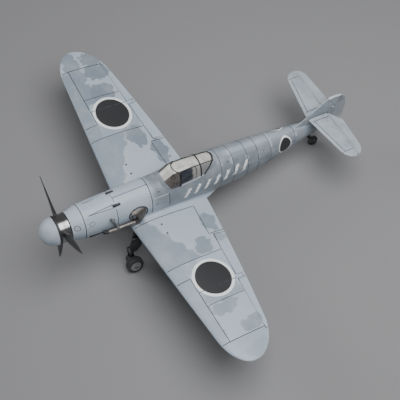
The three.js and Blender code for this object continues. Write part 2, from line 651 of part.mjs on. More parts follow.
const stabilizer = cut(
  join(tailBody, rootPad, acrossTail(TAIL_PIN.y, ROOT_PAD.outer, TAIL_PIN.r, 10)),
  elevatorBox(1),
  tailNose(TAIL.rootX - 1, ELEVATOR.endX, PLAY),
);
// The inner corner of each elevator is cut away to clear the rudder.
const elevatorCorner = new THREE.Shape([
  new THREE.Vector2(-1, 175.6),
  new THREE.Vector2(2.6, 175.6),
  new THREE.Vector2(9.8, 182),
  new THREE.Vector2(-1, 190),
]);
const cornerBlock = new THREE.ExtrudeGeometry(elevatorCorner, { depth: 12, bevelEnabled: false });
const ROD = { reach: 5.6, r: 0.35 };
const elevator = cut(
  join(tailBody.intersect(elevatorBox(0)), tailNose(ELEVATOR.rootX, ELEVATOR.noseEndX, 0)),
  solid(cornerBlock.translate(0, 0, 10)),
  acrossTail(TAIL.hingeY, ROD.reach + 0.4, ROD.r + 0.1, 8),
);
const portHalf = box(0.1, 60, 100, 200, 0, 40);
for (const [side, name] of SIDES) {
  const place = (manifold) => (side > 0 ? manifold : mirrored(manifold));
  piece("stabilizer_" + name, place(stabilizer.intersect(portHalf)), SKIN);
  piece("elevator_" + name, place(elevator), SKIN);
}
piece("elevator_rod", acrossTail(TAIL.hingeY, ROD.reach, ROD.r, 8), METAL);

const noseSteps = 5;
const rudderRings = RUDDER_EDGE.map(([z, trail]) => {
  const noseR = RUDDER.noseR * (z > 26 ? 0.75 : 1);
  const nose = Array.from({ length: noseSteps + 1 }, (_, i) => {
    const turn = Math.PI / 2 + (i / noseSteps) * Math.PI;
    return at(noseR * Math.sin(turn), RUDDER.hingeY + noseR * Math.cos(turn), z);
  });
  return [...nose, at(-0.25, trail, z), at(0.25, trail, z)];
});
// The balance horn reaches forward over the top of the fin.
const hornOutline = [
  [172, 28.5],
  [178.2, 21.7],
  [180.2, 21.7],
  [180.2, 29],
  [176, 29.3],
  [172.8, 29],
];
const horn = prismX(hornOutline, -0.7, 0.7);
const lugNotch = (z) => box(-2, 2, TAIL_POST - 1, RUDDER.hingeY + 1.1, z - PLAY, z + 1 + PLAY);
const PIN = { bottom: 4.6, top: 22.4 };
const pinBore = onHinge(PIN.bottom - 0.2, PIN.top + 0.2, RUDDER_PIN_R + 0.1, 8);
piece("rudder", cut(join(loft(rudderRings), horn), ...LUGS.map(lugNotch), pinBore), SIDE);
piece("rudder_pin", onHinge(PIN.bottom, PIN.top, RUDDER_PIN_R, 8), METAL);

// ---- undercarriage ------------------------------------------------------------------------------
// A wheel lies along +X with one tread facet facing straight down; its shoulders slope by the camber,
// so that a cambered tyre stands flat on its inboard shoulder.
function wheelPart(profile, sides) {
  const points = profile.map(([r, u]) => new THREE.Vector2(r, u));
  const geometry = new THREE.LatheGeometry(points, sides, Math.PI / sides);
  return solid(geometry.rotateZ(-Math.PI / 2));
}
function tyreProfile(r, width, bore, slope, shoulder) {
  const half = width / 2;
  const drop = shoulder * slope;
  return [
    [bore, -half + 0.5],
    [r - drop - 0.6, -half],
    [r - drop, -half],
    [r, -half + shoulder],
    [r, half - shoulder],
    [r - drop, half],
    [r - drop - 0.6, half],
    [bore, half - 0.5],
    [bore, -half + 0.5],
  ];
}
const shoulderSlope = Math.tan(WHEEL.camber) / Math.cos(Math.PI / WHEEL.sides);
const facetR = (r, sides) => r * Math.cos(Math.PI / sides);
// Depth of the lowest facet below the wheel centre, on the inboard shoulder.
const standR = facetR(WHEEL.r, WHEEL.sides);
const shoulderDrop = (WHEEL.width / 2 - WHEEL.shoulder) * Math.sin(WHEEL.camber);
const contactDrop = standR * Math.cos(WHEEL.camber) + shoulderDrop;
const wheelCentre = at(WHEEL.x, worldY(WHEEL.y, WHEEL.z), worldZ(WHEEL.y, WHEEL.z));
const FLOOR = wheelCentre.z - contactDrop;

const TYRE_BORE = 3.1;
const tyre = wheelPart(
  tyreProfile(WHEEL.r, WHEEL.width, TYRE_BORE, shoulderSlope, WHEEL.shoulder),
  WHEEL.sides,
);
const hubProfile = [
  [AXLE_R + 0.12, -1.9],
  [TYRE_BORE - FIT, -1.9],
  [TYRE_BORE - FIT, 1.9],
  [2.3, 1.9],
  [1.9, 1.2],
  [1.3, 1.2],
  [1.1, 2.2],
  [AXLE_R + 0.12, 2.2],
  [AXLE_R + 0.12, -1.9],
];
const wheelHub = wheelPart(hubProfile, 16);

for (const [side, name] of SIDES) {
  const wheel = new THREE.Group();
  wheel.position.set(side * wheelCentre.x, wheelCentre.y, wheelCentre.z);
  wheel.rotation.y = -side * WHEEL.camber;
  part.add(wheel);
  const facing = (manifold) => (side > 0 ? manifold : mirrored(manifold));
  piece("tyre_" + name, facing(tyre), RUBBER, wheel);
  piece("wheel_hub_" + name, facing(wheelHub), METAL, wheel);
  const pin = bar(at(DRUM.inner + 0.4, 0, 0), at(2.6, 0, 0), AXLE_R, AXLE_R, 12);
  const cap = bar(at(2.5, 0, 0), at(3, 0, 0), 1.05, 0.9, 12);
  piece("axle_" + name, facing(join(pin, cap)), METAL, wheel);
}

// Main legs, with a brake drum inboard of each wheel.
const axleDirection = at(Math.cos(WHEEL.camber), 0, Math.sin(WHEEL.camber));
const inAir = (v) => at(v.x, airY(v.y, v.z), airZ(v.y, v.z));
const drumAt = (u) => inAir(wheelCentre.clone().addScaledVector(axleDirection, u));
const drumBore = bar(drumAt(DRUM.inner - 1), drumAt(DRUM.outer + 1), AXLE_R + 0.1);
const drum = bar(drumAt(DRUM.inner), drumAt(DRUM.outer), DRUM.r, DRUM.r, 18);
const legTop = at(13.4, 48.6, -6.4);
const legBottom = drumAt(DRUM.inner + 1.1);
const strut = join(bar(legTop, legBottom, 1), bar(legTop, legTop.clone().lerp(legBottom, 0.55), 1.5));
const scissorsOutline = [
  [44.4, -23],
  [47, -18],
  [47, -19.6],
  [45.4, -23],
  [46.8, -28.2],
  [46.6, -29.6],
];
const scissors = prismX(scissorsOutline, 13.4, 14.4);
const legBody = cut(join(drum, strut, scissors), wingBody(FIT), drumBore);
const legPort = legBody.intersect(box(0, 60, 20, 80, -60, wingZ(14) - 1));
const doorOutline = [
  [44.6, -10.6],
  [52.2, -11],
  [51.8, -20],
  [49.6, -25],
  [45.6, -25],
  [44.4, -19],
];
const door = cut(prismX(doorOutline, 15.7, 16.5), wingBody(FIT));
for (const [side, name] of SIDES) {
  const place = (manifold) => (side > 0 ? manifold : mirrored(manifold));
  piece("main_leg_" + name, place(legPort), BLACK);
  piece("gear_door_" + name, place(door), BLACK);
}

// Tail wheel on its fork.
const tailCentreY = worldY(TAIL_WHEEL.y, TAIL_WHEEL.z);
const tailCentreZ = FLOOR + facetR(TAIL_WHEEL.r, TAIL_WHEEL.sides);
const tailWheel = new THREE.Group();
tailWheel.position.set(0, tailCentreY, tailCentreZ);
part.add(tailWheel);
piece(
  "tail_tyre",
  wheelPart(tyreProfile(TAIL_WHEEL.r, TAIL_WHEEL.width, 1.7, 0.5, 0.5), TAIL_WHEEL.sides),
  RUBBER,
  tailWheel,
);
const tailHubProfile = [[0.6, -1], [1.7 - FIT, -0.7], [1.7 - FIT, 0.7], [0.6, 1], [0.6, -1]];
piece("tail_hub", wheelPart(tailHubProfile, 12), METAL, tailWheel);
piece("tail_axle", bar(at(-2.7, 0, 0), at(2.7, 0, 0), 0.5, 0.5, 10), METAL, tailWheel);

const tailHub = inAir(at(0, tailCentreY, tailCentreZ));
const FORK = { x: 2.1, r: 0.7, axleR: 0.5 };
const besideWheel = (x) => tailHub.clone().setX(x);
const besideLeg = (x) => TAIL_LEG.foot.clone().setX(x);
const arm = (x) => bar(besideWheel(x), besideLeg(x), 0.55, FORK.r, 8);
const eyes = [-1, 1].map((side) => bar(besideWheel(side * 1.6), besideWheel(side * 2.6), 1.1, 1.1, 10));
const bridge = bar(besideLeg(-2.4), besideLeg(2.4), 0.8, 0.8, 10);
const post = bar(TAIL_LEG.top, TAIL_LEG.foot, TAIL_LEG.r, TAIL_LEG.r, 10);
const tailAxleHole = bar(besideWheel(-4), besideWheel(4), FORK.axleR + 0.06, FORK.axleR + 0.06, 10);
piece("tail_leg", cut(join(bridge, post, arm(FORK.x), arm(-FORK.x), ...eyes), tailAxleHole), BLACK);

// ---- set the model down on the floor, centred over the origin ------------------------------------
part.updateMatrixWorld(true);
const bounds = new THREE.Box3().setFromObject(part, true);
const middle = bounds.getCenter(at(0, 0, 0));
for (const group of part.children) group.position.sub(at(0, middle.y, bounds.min.z));

export default part;
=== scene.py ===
import json
from math import asin, cos, degrees, hypot, pi, radians, sin, tan

import bpy
import numpy as np
from mathutils import Matrix, Vector

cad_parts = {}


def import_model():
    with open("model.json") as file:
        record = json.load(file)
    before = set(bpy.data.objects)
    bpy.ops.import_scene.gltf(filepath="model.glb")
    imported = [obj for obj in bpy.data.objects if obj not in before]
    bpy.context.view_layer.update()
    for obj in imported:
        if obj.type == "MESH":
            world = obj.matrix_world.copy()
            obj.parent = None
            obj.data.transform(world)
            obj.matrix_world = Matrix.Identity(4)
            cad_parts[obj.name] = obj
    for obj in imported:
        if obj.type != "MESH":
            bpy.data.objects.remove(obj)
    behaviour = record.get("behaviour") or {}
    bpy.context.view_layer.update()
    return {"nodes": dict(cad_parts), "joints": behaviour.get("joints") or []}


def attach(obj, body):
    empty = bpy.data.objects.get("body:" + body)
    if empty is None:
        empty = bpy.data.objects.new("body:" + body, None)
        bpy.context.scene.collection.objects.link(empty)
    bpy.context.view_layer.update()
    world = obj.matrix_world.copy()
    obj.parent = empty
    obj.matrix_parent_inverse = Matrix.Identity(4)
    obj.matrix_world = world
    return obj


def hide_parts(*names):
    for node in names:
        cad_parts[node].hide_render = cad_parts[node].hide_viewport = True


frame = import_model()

# Looks of a 1:48 display model of a low-wing propeller fighter. Shapes are worked out in the aircraft
# frame, in millimetres: nose towards -y, port side towards +x, spinner tip at y = 0, shaft along z = 0.
# world() carries a point of it into the model's own frame, in metres.

# ---- aircraft frame ----
MM = 0.001
PROPELLER_Y = 11.3
JOINTS = {joint["name"]: joint for joint in frame["joints"]}
SPIN = JOINTS["propeller_spin"]
SIN_P = SPIN["axis"][2]
COS_P = -SPIN["axis"][1]
PITCH = asin(SIN_P)
ORIGIN = np.array(SPIN["pos_m"]) - MM * PROPELLER_Y * np.array([0, COS_P, -SIN_P])
AIR_TURN = np.array([[1, 0, 0], [0, COS_P, SIN_P], [0, -SIN_P, COS_P]])
SIDES = ((1, "left"), (-1, "right"))


def world(points):
    """Points of the aircraft frame in mm, as points of the model's frame in metres."""
    return np.asarray(points, float) @ AIR_TURN.T * MM + ORIGIN


def joint_line(name):
    """A joint's place and axis, in the aircraft frame."""
    joint = JOINTS[name]
    return (np.array(joint["pos_m"]) - ORIGIN) / MM @ AIR_TURN, np.array(joint["axis"]) @ AIR_TURN


# ---- driving dimensions, as in the CAD ----
HALF_SPAN = 104.6
PLAY = 0.3
SPINNER_R = 7.6
DOME_END = 8.5
DOME_LENGTH = 8.44
RING = (8.9, 14.7)
NOSE_FRONT = 15.1
COWL_SEAM = 21.7
TAIL_POST = 176.2
# y, half width, height of the widest line, top, bottom
STATIONS = [
    (15, 7.6, 0.1, 8.0, -7.8),
    (22, 8.9, -0.2, 9.9, -10.6),
    (30, 9.3, -0.6, 10.5, -12.8),
    (40, 9.5, -0.8, 10.9, -13.8),
    (54, 9.7, -0.8, 11.3, -13.8),
    (68, 10.0, -0.6, 11.9, -13.2),
    (84, 10.2, -0.5, 13.6, -12.4),
    (99, 10.2, -0.3, 14.4, -11.6),
    (112, 10.1, 0, 13.4, -10.3),
    (126, 9.1, 1.2, 12.5, -8.4),
    (140, 7.3, 2.6, 11.9, -5.6),
    (154, 5.4, 4.0, 11.4, -2.4),
    (166, 3.7, 5.4, 10.9, 0.6),
    (TAIL_POST, 2.0, 6.6, 10.4, 3.2),
]
WING = {"root_z": -8.06, "slope": tan(radians(5.2)), "tip_start": 87, "tip_y": 65}
TIP_POWER = 2.15
THINNEST = 0.16
FLAP = (34, 60)
AILERON = (62.8, 92.4)
TAIL = {"z": 16.1, "root": 1.4, "tip": 32.7, "tip_start": 26.5, "tip_y": 173, "hinge_y": 174.8}
RUDDER_HINGE_Y = 177.5
# y, sill half width, sill z, shoulder half width, shoulder z, crown z
CANOPY = [
    (63.6, 6.4, 5, 3.2, 8.6, 9.4),
    (73.2, 7.2, 5, 4.1, 16.9, 18.1),
    (81, 7.3, 5, 4.3, 16.8, 18.1),
    (89, 7.2, 5, 4.2, 16.3, 17.6),
    (98.8, 5.6, 5, 3.2, 15.3, 16.6),
]


def curve_through(xs, ys):
    """A smooth curve through points that never overshoots them, as a function of arrays."""
    step = np.diff(xs)
    rise = np.diff(ys) / step
    slope = np.zeros_like(ys)
    both = rise[1:] * rise[:-1]
    safe = np.where(both > 0, rise[1:] + rise[:-1], 1)
    slope[1:-1] = np.where(both > 0, 2 * both / safe, 0)
    slope[0], slope[-1] = rise[0], rise[-1]

    def read(x):
        x = np.clip(x, xs[0], xs[-1])
        i = np.clip(np.searchsorted(xs, x) - 1, 0, len(step) - 1)
        t = (x - xs[i]) / step[i]
        ends = ys[i] * (1 + 2 * t) * (1 - t) ** 2 + ys[i + 1] * t * t * (3 - 2 * t)
        return ends + step[i] * (slope[i] * t * (1 - t) ** 2 - slope[i + 1] * t * t * (1 - t))

    return read


def table_curves(table):
    """A curve over a table's first column for each of its other columns."""
    columns = np.array(table, float).T
    return [curve_through(columns[0], column) for column in columns[1:]]


def full_circle(count):
    return np.linspace(0, 2 * pi, count, endpoint=False)


station_curves = table_curves(STATIONS)


def hull_point(y, turn, grow=0.0):
    """A point of the fuselage skin: turn is 0 at port and 90 degrees at the top."""
    half, wide, top, bottom = (curve(y) for curve in station_curves)
    height = np.where(np.sin(turn) > 0, top - wide, wide - bottom)
    x = (half + grow) * np.cos(turn)
    z = wide + (height + grow) * np.sin(turn)
    return np.stack(np.broadcast_arrays(x, y, z), -1)


def hull_turn(y, z):
    """The turn at which the port skin reaches height z."""
    _, wide, top, bottom = (float(curve(y)) for curve in station_curves)
    height = top - wide if z > wide else wide - bottom
    return asin(max(-1.0, min(1.0, (z - wide) / height)))


def aerofoil(c):
    """Half depth of a symmetric aerofoil of unit chord and depth."""
    c = np.clip(c, 0, 1)
    return 5 * (0.2969 * np.sqrt(c) - 0.126 * c - 0.3516 * c**2 + 0.2843 * c**3 - 0.1036 * c**4)


def tip_share(x, start, end):
    along = np.clip((np.abs(x) - start) / (end - start), 0, 1)
    return np.maximum(1 - along**TIP_POWER, 0) ** (1 / TIP_POWER)


def wing_chord(x):
    """Leading edge, trailing edge, height and depth of the wing at x."""
    x = np.abs(x)
    share = tip_share(x, WING["tip_start"], HALF_SPAN + 0.02)
    lead = WING["tip_y"] - (WING["tip_y"] - (46 + 0.08 * x)) * share
    trail = WING["tip_y"] + (94.3 - 0.105 * x - 0.0005 * x * x - WING["tip_y"]) * share
    depth = 0.145 + (0.115 - 0.145) * x / HALF_SPAN
    return lead, trail, WING["root_z"] + x * WING["slope"], depth


def tail_chord(x):
    x = np.abs(x)
    share = tip_share(x, TAIL["tip_start"], TAIL["tip"] + 0.02)
    lead = TAIL["tip_y"] - (TAIL["tip_y"] - (161.3 + 0.19 * x)) * share
    trail = TAIL["tip_y"] + (181.3 - 0.065 * x - TAIL["tip_y"]) * share
    return lead, trail, TAIL["z"] + 0 * x, 0.1 + 0 * x


def half_depth(chord_at, x, y):
    """Half the depth of a lifting surface at a place in plan."""
    lead, trail, _, depth = chord_at(x)
    return aerofoil((y - lead) / (trail - lead)) * depth * (trail - lead)


def skin_point(chord_at, x, y, side=1):
    """The point of a lifting surface above (side 1) or below (side -1) a place in plan."""
    half = np.maximum(half_depth(chord_at, x, y), THINNEST)
    return np.stack(np.broadcast_arrays(x, y, chord_at(x)[2] + side * half), -1)


def wing_hinge(x):
    """The hinge line of the port flap and aileron."""
    return np.array([x, 83.6 - 0.09 * (x - 34.6), WING["root_z"] + x * WING["slope"]])


# ---- materials ----
def linear(*rgb):
    """Screen colour from 0 to 255 as linear light."""
    c = np.array(rgb, float) / 255
    return tuple(np.where(c <= 0.04045, c / 12.92, ((c + 0.055) / 1.055) ** 2.4)) + (1.0,)


class Field:
    """A node's output, with plain arithmetic; each operation adds a node."""

    def __init__(self, nodes, socket):
        self.nodes = nodes
        self.socket = socket

    def __add__(self, other):
        return self.nodes.math("ADD", self, other)

    def __sub__(self, other):
        return self.nodes.math("SUBTRACT", self, other)

    def __rsub__(self, other):
        return self.nodes.math("SUBTRACT", other, self)

    def __mul__(self, other):
        return self.nodes.math("MULTIPLY", self, other)

    def __truediv__(self, other):
        return self.nodes.math("DIVIDE", self, other)

    def __abs__(self):
        return self.nodes.math("ABSOLUTE", self)

    def step(self, low, high):
        """0 below low, 1 above high and smooth between; low above high turns it round."""
        ends = (low, high, 0, 1) if low < high else (high, low, 1, 0)
        return self.nodes.new("ShaderNodeMapRange", self, *ends, interpolation_type="SMOOTHSTEP")


class Nodes:
    """A material's node tree, with short calls for the nodes that these materials share."""

    def __init__(self, name, roughness=0.5, metallic=0.0):
        self.material = bpy.data.materials.new(name)
        self.material.use_nodes = True
        self.tree = self.material.node_tree
        self.inputs = self.tree.nodes["Principled BSDF"].inputs
        self.inputs["Roughness"].default_value = roughness
        self.inputs["Metallic"].default_value = metallic

    def feed(self, socket, value):
        if isinstance(value, Field):
            self.tree.links.new(value.socket, socket)
        else:
            socket.default_value = value

    def new(self, kind, *values, output=0, **settings):
        """Adds a node, feeds its inputs in order and gives one of its outputs."""
        node = self.tree.nodes.new(kind)
        for key, value in settings.items():
            setattr(node, key, value)
        for socket, value in zip(node.inputs, values):
            self.feed(socket, value)
        return Field(self, node.outputs[output])

    def math(self, operation, *values):
        return self.new("ShaderNodeMath", *values, operation=operation)

    def vector_math(self, operation, *values):
        return self.new("ShaderNodeVectorMath", *values, operation=operation)

    def place(self):
        """The place on the aircraft in mm, in the aircraft frame."""
        shifted = self.vector_math("SUBTRACT", self.new("ShaderNodeTexCoord", output="Object"), ORIGIN)
        turned = self.new("ShaderNodeVectorRotate", shifted, rotation_type="X_AXIS")
        turned.socket.node.inputs["Angle"].default_value = PITCH
        return self.vector_math("MULTIPLY", turned, (1 / MM, 1 / MM, 1 / MM))

    def axes(self, vector):
        split = self.new("ShaderNodeSeparateXYZ", vector).socket.node
        return [Field(self, socket) for socket in split.outputs]

    def noise(self, vector, scale, detail=3, roughness=0.5, output="Fac"):
        fourth_axis = 0  # has no effect on noise in three dimensions
        return self.new("ShaderNodeTexNoise", vector, fourth_axis, scale, detail, roughness, output=output)

    def edges(self):
        """1 on the edges that stand out and wear first."""
        return self.new("ShaderNodeNewGeometry", output="Pointiness").step(0.53, 0.62)

    def mix(self, share, a, b):
        mixed = self.new("ShaderNodeMix", share, data_type="RGBA", output=2)
        for index, value in ((6, a), (7, b)):
            self.feed(mixed.socket.node.inputs[index], value)
        return mixed

    def bump(self, height, distance, strength):
        bumped = self.new("ShaderNodeBump", strength, distance * MM)
        self.feed(bumped.socket.node.inputs["Height"], height)
        self.feed(self.inputs["Normal"], bumped)

    def finish(self, colour, roughness=None):
        self.feed(self.inputs["Base Color"], colour)
        if roughness is not None:
            self.feed(self.inputs["Roughness"], roughness)
        return self.material


LIGHT_BLUE_GREY = linear(176, 190, 204)
MID_BLUE_GREY = linear(124, 136, 149)
DARK_BLUE_GREY = linear(121, 130, 139)
SPINE_GREY = linear(140, 150, 160)
MARK_DARK = linear(47, 48, 51)
MARK_PALE = linear(244, 246, 248)
MARK_DISC = 0.86
BARE_EDGE_AND_HIGHLIGHT = linear(205, 211, 216)
PALE_FILM = linear(196, 201, 205)
DARK_SPECK = linear(112, 119, 127)


def worn_paint(nodes, base, place, wear=0.5, marks=()):
    """Lays the small unevenness of brushed and handled satin paint over a base colour, then the marks."""
    cloud = nodes.noise(place, 0.09, 4, 0.6)
    speck = nodes.noise(place, 1.6, 2)
    fine = nodes.noise(place, 5.0, 2)
    base = nodes.mix(cloud.step(0.4, 0.72) * 0.25, base, PALE_FILM)
    base = nodes.mix(speck.step(0.6, 0.8) * 0.18, base, DARK_SPECK)
    base = nodes.mix(nodes.edges() * wear, base, BARE_EDGE_AND_HIGHLIGHT)
    for mask, colour in marks:
        base = nodes.mix(mask, base, colour)
    nodes.bump(fine + speck * 0.6, 0.02, 0.35)
    return nodes.finish(base, cloud * 0.2 + 0.32)


def round_mark(nodes, across, along, radius):
    """Masks and colours of a plain round mark: a pale disc with a dark one on it."""
    distance = nodes.math("SQRT", across * across + along * along)
    masks = [distance.step(r + 0.12, r - 0.12) for r in (radius, radius * MARK_DISC)]
    return list(zip(masks, (MARK_PALE, MARK_DARK)))


# Camouflage patches on the upper wing: x, y, half width, half length, share of the dark colour.
WING_PATCHES = [
    (37.5, 75, 5.8, 5.4, 0.75),
    (26, 85.3, 6.5, 4.2, 0.8),
    (36.5, 86, 2.6, 3, 0.55),
    (48, 62, 4.5, 5, 0.35),
    (73.5, 66, 4, 8, 0.6),
    (86.5, 73, 4.2, 6.8, 0.65),
    (100, 70, 4, 7, 0.4),
    (-38.5, 75, 6.8, 6.2, 0.9),
    (-26, 84, 8, 4.8, 0.95),
    (-72, 70, 6.4, 8.2, 0.95),
    (-86.5, 73, 5.4, 8.4, 0.9),
    (-96, 73.5, 5, 6.8, 0.95),
    (-99, 61, 5.5, 3.8, 0.8),
]
# Straight-sided camouflage areas: x from, x to, y from, y to, share of the dark colour.
WING_AREAS = [
    (43.7, 91.5, 40, 57.8, 0.42),
    (61.3, 69.8, 57.8, 80, 0.5),
    (91.5, 110, 40, 90, 0.25),
    (-91, -43.7, 40, 57.8, 0.7),
    (-104, -66, 56.5, 65.2, 0.8),
    (-61, -43.7, 57, 81, 0.4),
]
# The area along the inner leading edge ends on a slanted line: x and y where it starts, and its slope.
LEAD_AREA = {"x": 14, "y": 56, "slope": 0.5, "end": 43.7, "share": 0.65}
WING_MARK = {"x": 57.0, "y": 69.3, "radius": 11.2}
RAGGED = 9  # how far the noise carries a patch's edge, from 0 to this, in mm
SHARP_EDGE = 0.4


def wing_paint():
    nodes = Nodes("wing_paint")
    place = nodes.place()
    ragged = nodes.noise(place, 0.22, output="Color")
    bent_x, bent_y, _ = nodes.axes(nodes.vector_math("MULTIPLY_ADD", ragged, (RAGGED, RAGGED, 0), place))
    x, y, _ = nodes.axes(place)
    reach = abs(x)
    middle = RAGGED / 2
    layers = []
    for spot_x, spot_y, wide, long, share in WING_PATCHES:
        across = (bent_x - (spot_x + middle)) / wide
        along = (bent_y - (spot_y + middle)) / long
        layers.append((across * across + along * along).step(1.12, 0.86) * share)
    for x0, x1, y0, y1, share in WING_AREAS:
        wide = x.step(x0, x0 + SHARP_EDGE) * x.step(x1, x1 - SHARP_EDGE)
        long = bent_y.step(y0 + 4, y0 + 5) * bent_y.step(y1 + 5, y1 + 4)
        layers.append(wide * long * share)
    line = (reach - LEAD_AREA["x"]) * LEAD_AREA["slope"] + LEAD_AREA["y"]
    off = bent_y - middle - line
    inner = reach.step(LEAD_AREA["end"] + SHARP_EDGE, LEAD_AREA["end"])
    layers.append(off.step(SHARP_EDGE, -SHARP_EDGE) * inner * LEAD_AREA["share"])
    dark = 0.0
    for layer in layers:
        dark = nodes.math("MAXIMUM", layer, dark)
    base = nodes.mix(dark, LIGHT_BLUE_GREY, MID_BLUE_GREY)
    # painted highlight: a pale line along the slanted edge of the area by the leading edge
    base = nodes.mix(abs(off).step(1.4, 0.3) * inner * 0.35, base, BARE_EDGE_AND_HIGHLIGHT)
    marks = round_mark(nodes, reach - WING_MARK["x"], y - WING_MARK["y"], WING_MARK["radius"])
    return worn_paint(nodes, base, place, marks=marks)


SIDE_MARK = {"y": 145.3, "z": 6.6, "radius": 4.7}
STROKES = {"first": 79, "last": 115.5, "count": 7, "low": 0.6, "climb": 0.1, "height": 5.2, "lean": 0.5}


def side_strokes(nodes, y, z):
    """A row of short slanted brush strokes along the fuselage side, with ragged edges."""
    ragged = nodes.noise(nodes.new("ShaderNodeCombineXYZ", 0, y, z), 0.9, 2)
    wobble = (ragged - 0.5) * 1.6
    up = z - (y - STROKES["first"]) * STROKES["climb"] - STROKES["low"]
    slid = y - up * STROKES["lean"] - wobble
    pitch = (STROKES["last"] - STROKES["first"]) / (STROKES["count"] - 1)
    cell = (slid - (STROKES["first"] - pitch / 2)) / pitch
    stroke = abs(nodes.math("FRACT", cell) - 0.5).step(0.2, 0.13)
    height = up + wobble
    ends = height.step(0, 0.25) * height.step(STROKES["height"] + 0.25, STROKES["height"])
    return stroke * ends * (cell.step(0, 0.02) * cell.step(STROKES["count"], STROKES["count"] - 0.02))


def fuselage_paint():
    nodes = Nodes("fuselage_paint")
    place = nodes.place()
    x, y, z = nodes.axes(place)
    mottle = nodes.noise(place, 0.13, 4, 0.6)
    below_spine = 14.6 - (y - 99.0) * 0.042 - z
    aft = (y + mottle * 6.0).step(60.5, 66)
    side_band = below_spine.step(1.2, 2.6) * below_spine.step(17, 12) * aft
    spine_stripe = abs(x).step(2.2, 1.0) * z.step(6, 9) * y.step(102, 108)
    layers = [
        (z.step(6, -4) * 0.55, MID_BLUE_GREY),
        (y.step(62, 70), SPINE_GREY),
        (side_band, DARK_BLUE_GREY),
        (mottle.step(0.44, 0.6) * (aft * 0.3 + 0.1), SPINE_GREY),
        (spine_stripe * 0.6, LIGHT_BLUE_GREY),
        (y.step(128, 150) * 0.5, SPINE_GREY),
    ]
    base = LIGHT_BLUE_GREY
    for share, colour in layers:
        base = nodes.mix(share, base, colour)
    marks = [(side_strokes(nodes, y, z) * x.step(0, 1), MARK_PALE)]
    marks += round_mark(nodes, y - SIDE_MARK["y"], z - SIDE_MARK["z"], SIDE_MARK["radius"])
    return worn_paint(nodes, base, place, marks=marks)


def plain_paint(name, colour, wear=0.5):
    nodes = Nodes(name)
    place = nodes.place()
    tint = nodes.noise(place, 0.16).step(0.4, 0.65)
    return worn_paint(nodes, nodes.mix(tint * 0.35, colour, MID_BLUE_GREY), place, wear)


def fin_paint():
    """Darker on the sides than on the edges that face up, where a painted highlight makes them pale."""
    nodes = Nodes("rudder_paint")
    place = nodes.place()
    facing = nodes.axes(nodes.new("ShaderNodeNewGeometry", output="Normal"))[2]
    tint = nodes.noise(place, 0.2).step(0.42, 0.6)
    base = nodes.mix(tint * 0.5, linear(158, 169, 179), linear(130, 141, 151))
    # painted highlight: faces that point up turn pale
    base = nodes.mix(facing.step(0.3, 0.65), base, linear(206, 214, 222))
    return worn_paint(nodes, base, place)


def metal(name, colour, roughness, grain=1.0, streak=(1, 1, 1), share=1.0):
    """Metal, or metallic paint at a lower share, with a grain that streak stretches along an axis."""
    nodes = Nodes(name, roughness, share)
    place = nodes.place()
    brushed = nodes.noise(nodes.vector_math("MULTIPLY", place, streak), grain, 4, 0.65)
    stain = nodes.noise(place, 0.35)
    dark = tuple(0.45 * c for c in colour[:3]) + (1.0,)
    base = nodes.mix(stain.step(0.45, 0.75) * 0.7, colour, dark)
    base = nodes.mix(brushed * 0.35, base, dark)
    nodes.bump(brushed, 0.01, 0.25)
    return nodes.finish(base, brushed * 0.22 + (roughness - 0.1))


def moulded(name, colour, roughness=0.55, scale=2.2, dust=0.25):
    """Moulded plastic or rubber with a fine tooth and a little dust."""
    nodes = Nodes(name, roughness)
    place = nodes.place()
    film = nodes.noise(place, 0.25)
    pale = tuple(min(1.0, 0.08 + 1.6 * c) for c in colour[:3]) + (1.0,)
    base = nodes.mix(film.step(0.45, 0.7) * dust, colour, pale)
    base = nodes.mix(nodes.edges() * 0.35, base, pale)
    nodes.bump(nodes.noise(place, scale), 0.02, 0.4)
    return nodes.finish(base, film * 0.25 + (roughness - 0.12))


def wash():
    """Dark colour for the panel lines, and painted shade in recesses, holes, slots and on the hidden noses
    of flaps and ailerons.
    """
    nodes = Nodes("panel_wash_and_shade", 0.8)
    share = nodes.noise(nodes.place(), 0.5, 2).step(0.35, 0.7)
    return nodes.finish(nodes.mix(share, linear(48, 55, 64), linear(74, 82, 92)))


def clear_moulding():
    """Clear plastic, smoky down the sides; the pale top and the bright band across the rear of the hood are
    a painted reflection.
    """
    nodes = Nodes("clear_moulding", 0.16)
    nodes.inputs["IOR"].default_value = 1.49
    nodes.inputs["Coat Weight"].default_value = 0.5
    place = nodes.place()
    haze = nodes.noise(place, 0.18, 2).step(0.3, 0.7)
    x, y, _ = nodes.axes(place)
    along = y + haze * 0.8
    # painted reflection: the top of the hood is pale and less clear
    top = abs(x).step(3.6, 3.2)
    windscreen = y.step(76.6, 76.2)
    # painted reflection: the hood is brighter from y 84 back, with a darker streak across it at y 86
    streak = abs(along - 86.2).step(0.7, 0.2)
    glare = along.step(83.4, 84.8) * (1 - streak * 0.6)
    # colours of the painted reflection on the top and in the band
    crown = nodes.mix(haze, linear(190, 189, 184), linear(218, 217, 212))
    brown = nodes.mix(haze, linear(82, 77, 76), linear(112, 106, 103))
    glare_colour = nodes.mix(along.step(89, 90), linear(164, 163, 160), linear(146, 147, 148))
    base = nodes.mix(haze, linear(42, 48, 60), linear(74, 79, 90))
    for share, colour in ((glare, glare_colour), (windscreen, brown), (top, crown)):
        base = nodes.mix(share, base, colour)
    cover = nodes.math("MAXIMUM", top * 0.36, glare * 0.3)
    cover = nodes.math("MAXIMUM", cover, windscreen * 0.12)
    nodes.feed(nodes.inputs["Alpha"], cover + (haze * 0.08 + 0.48))
    return nodes.finish(base)


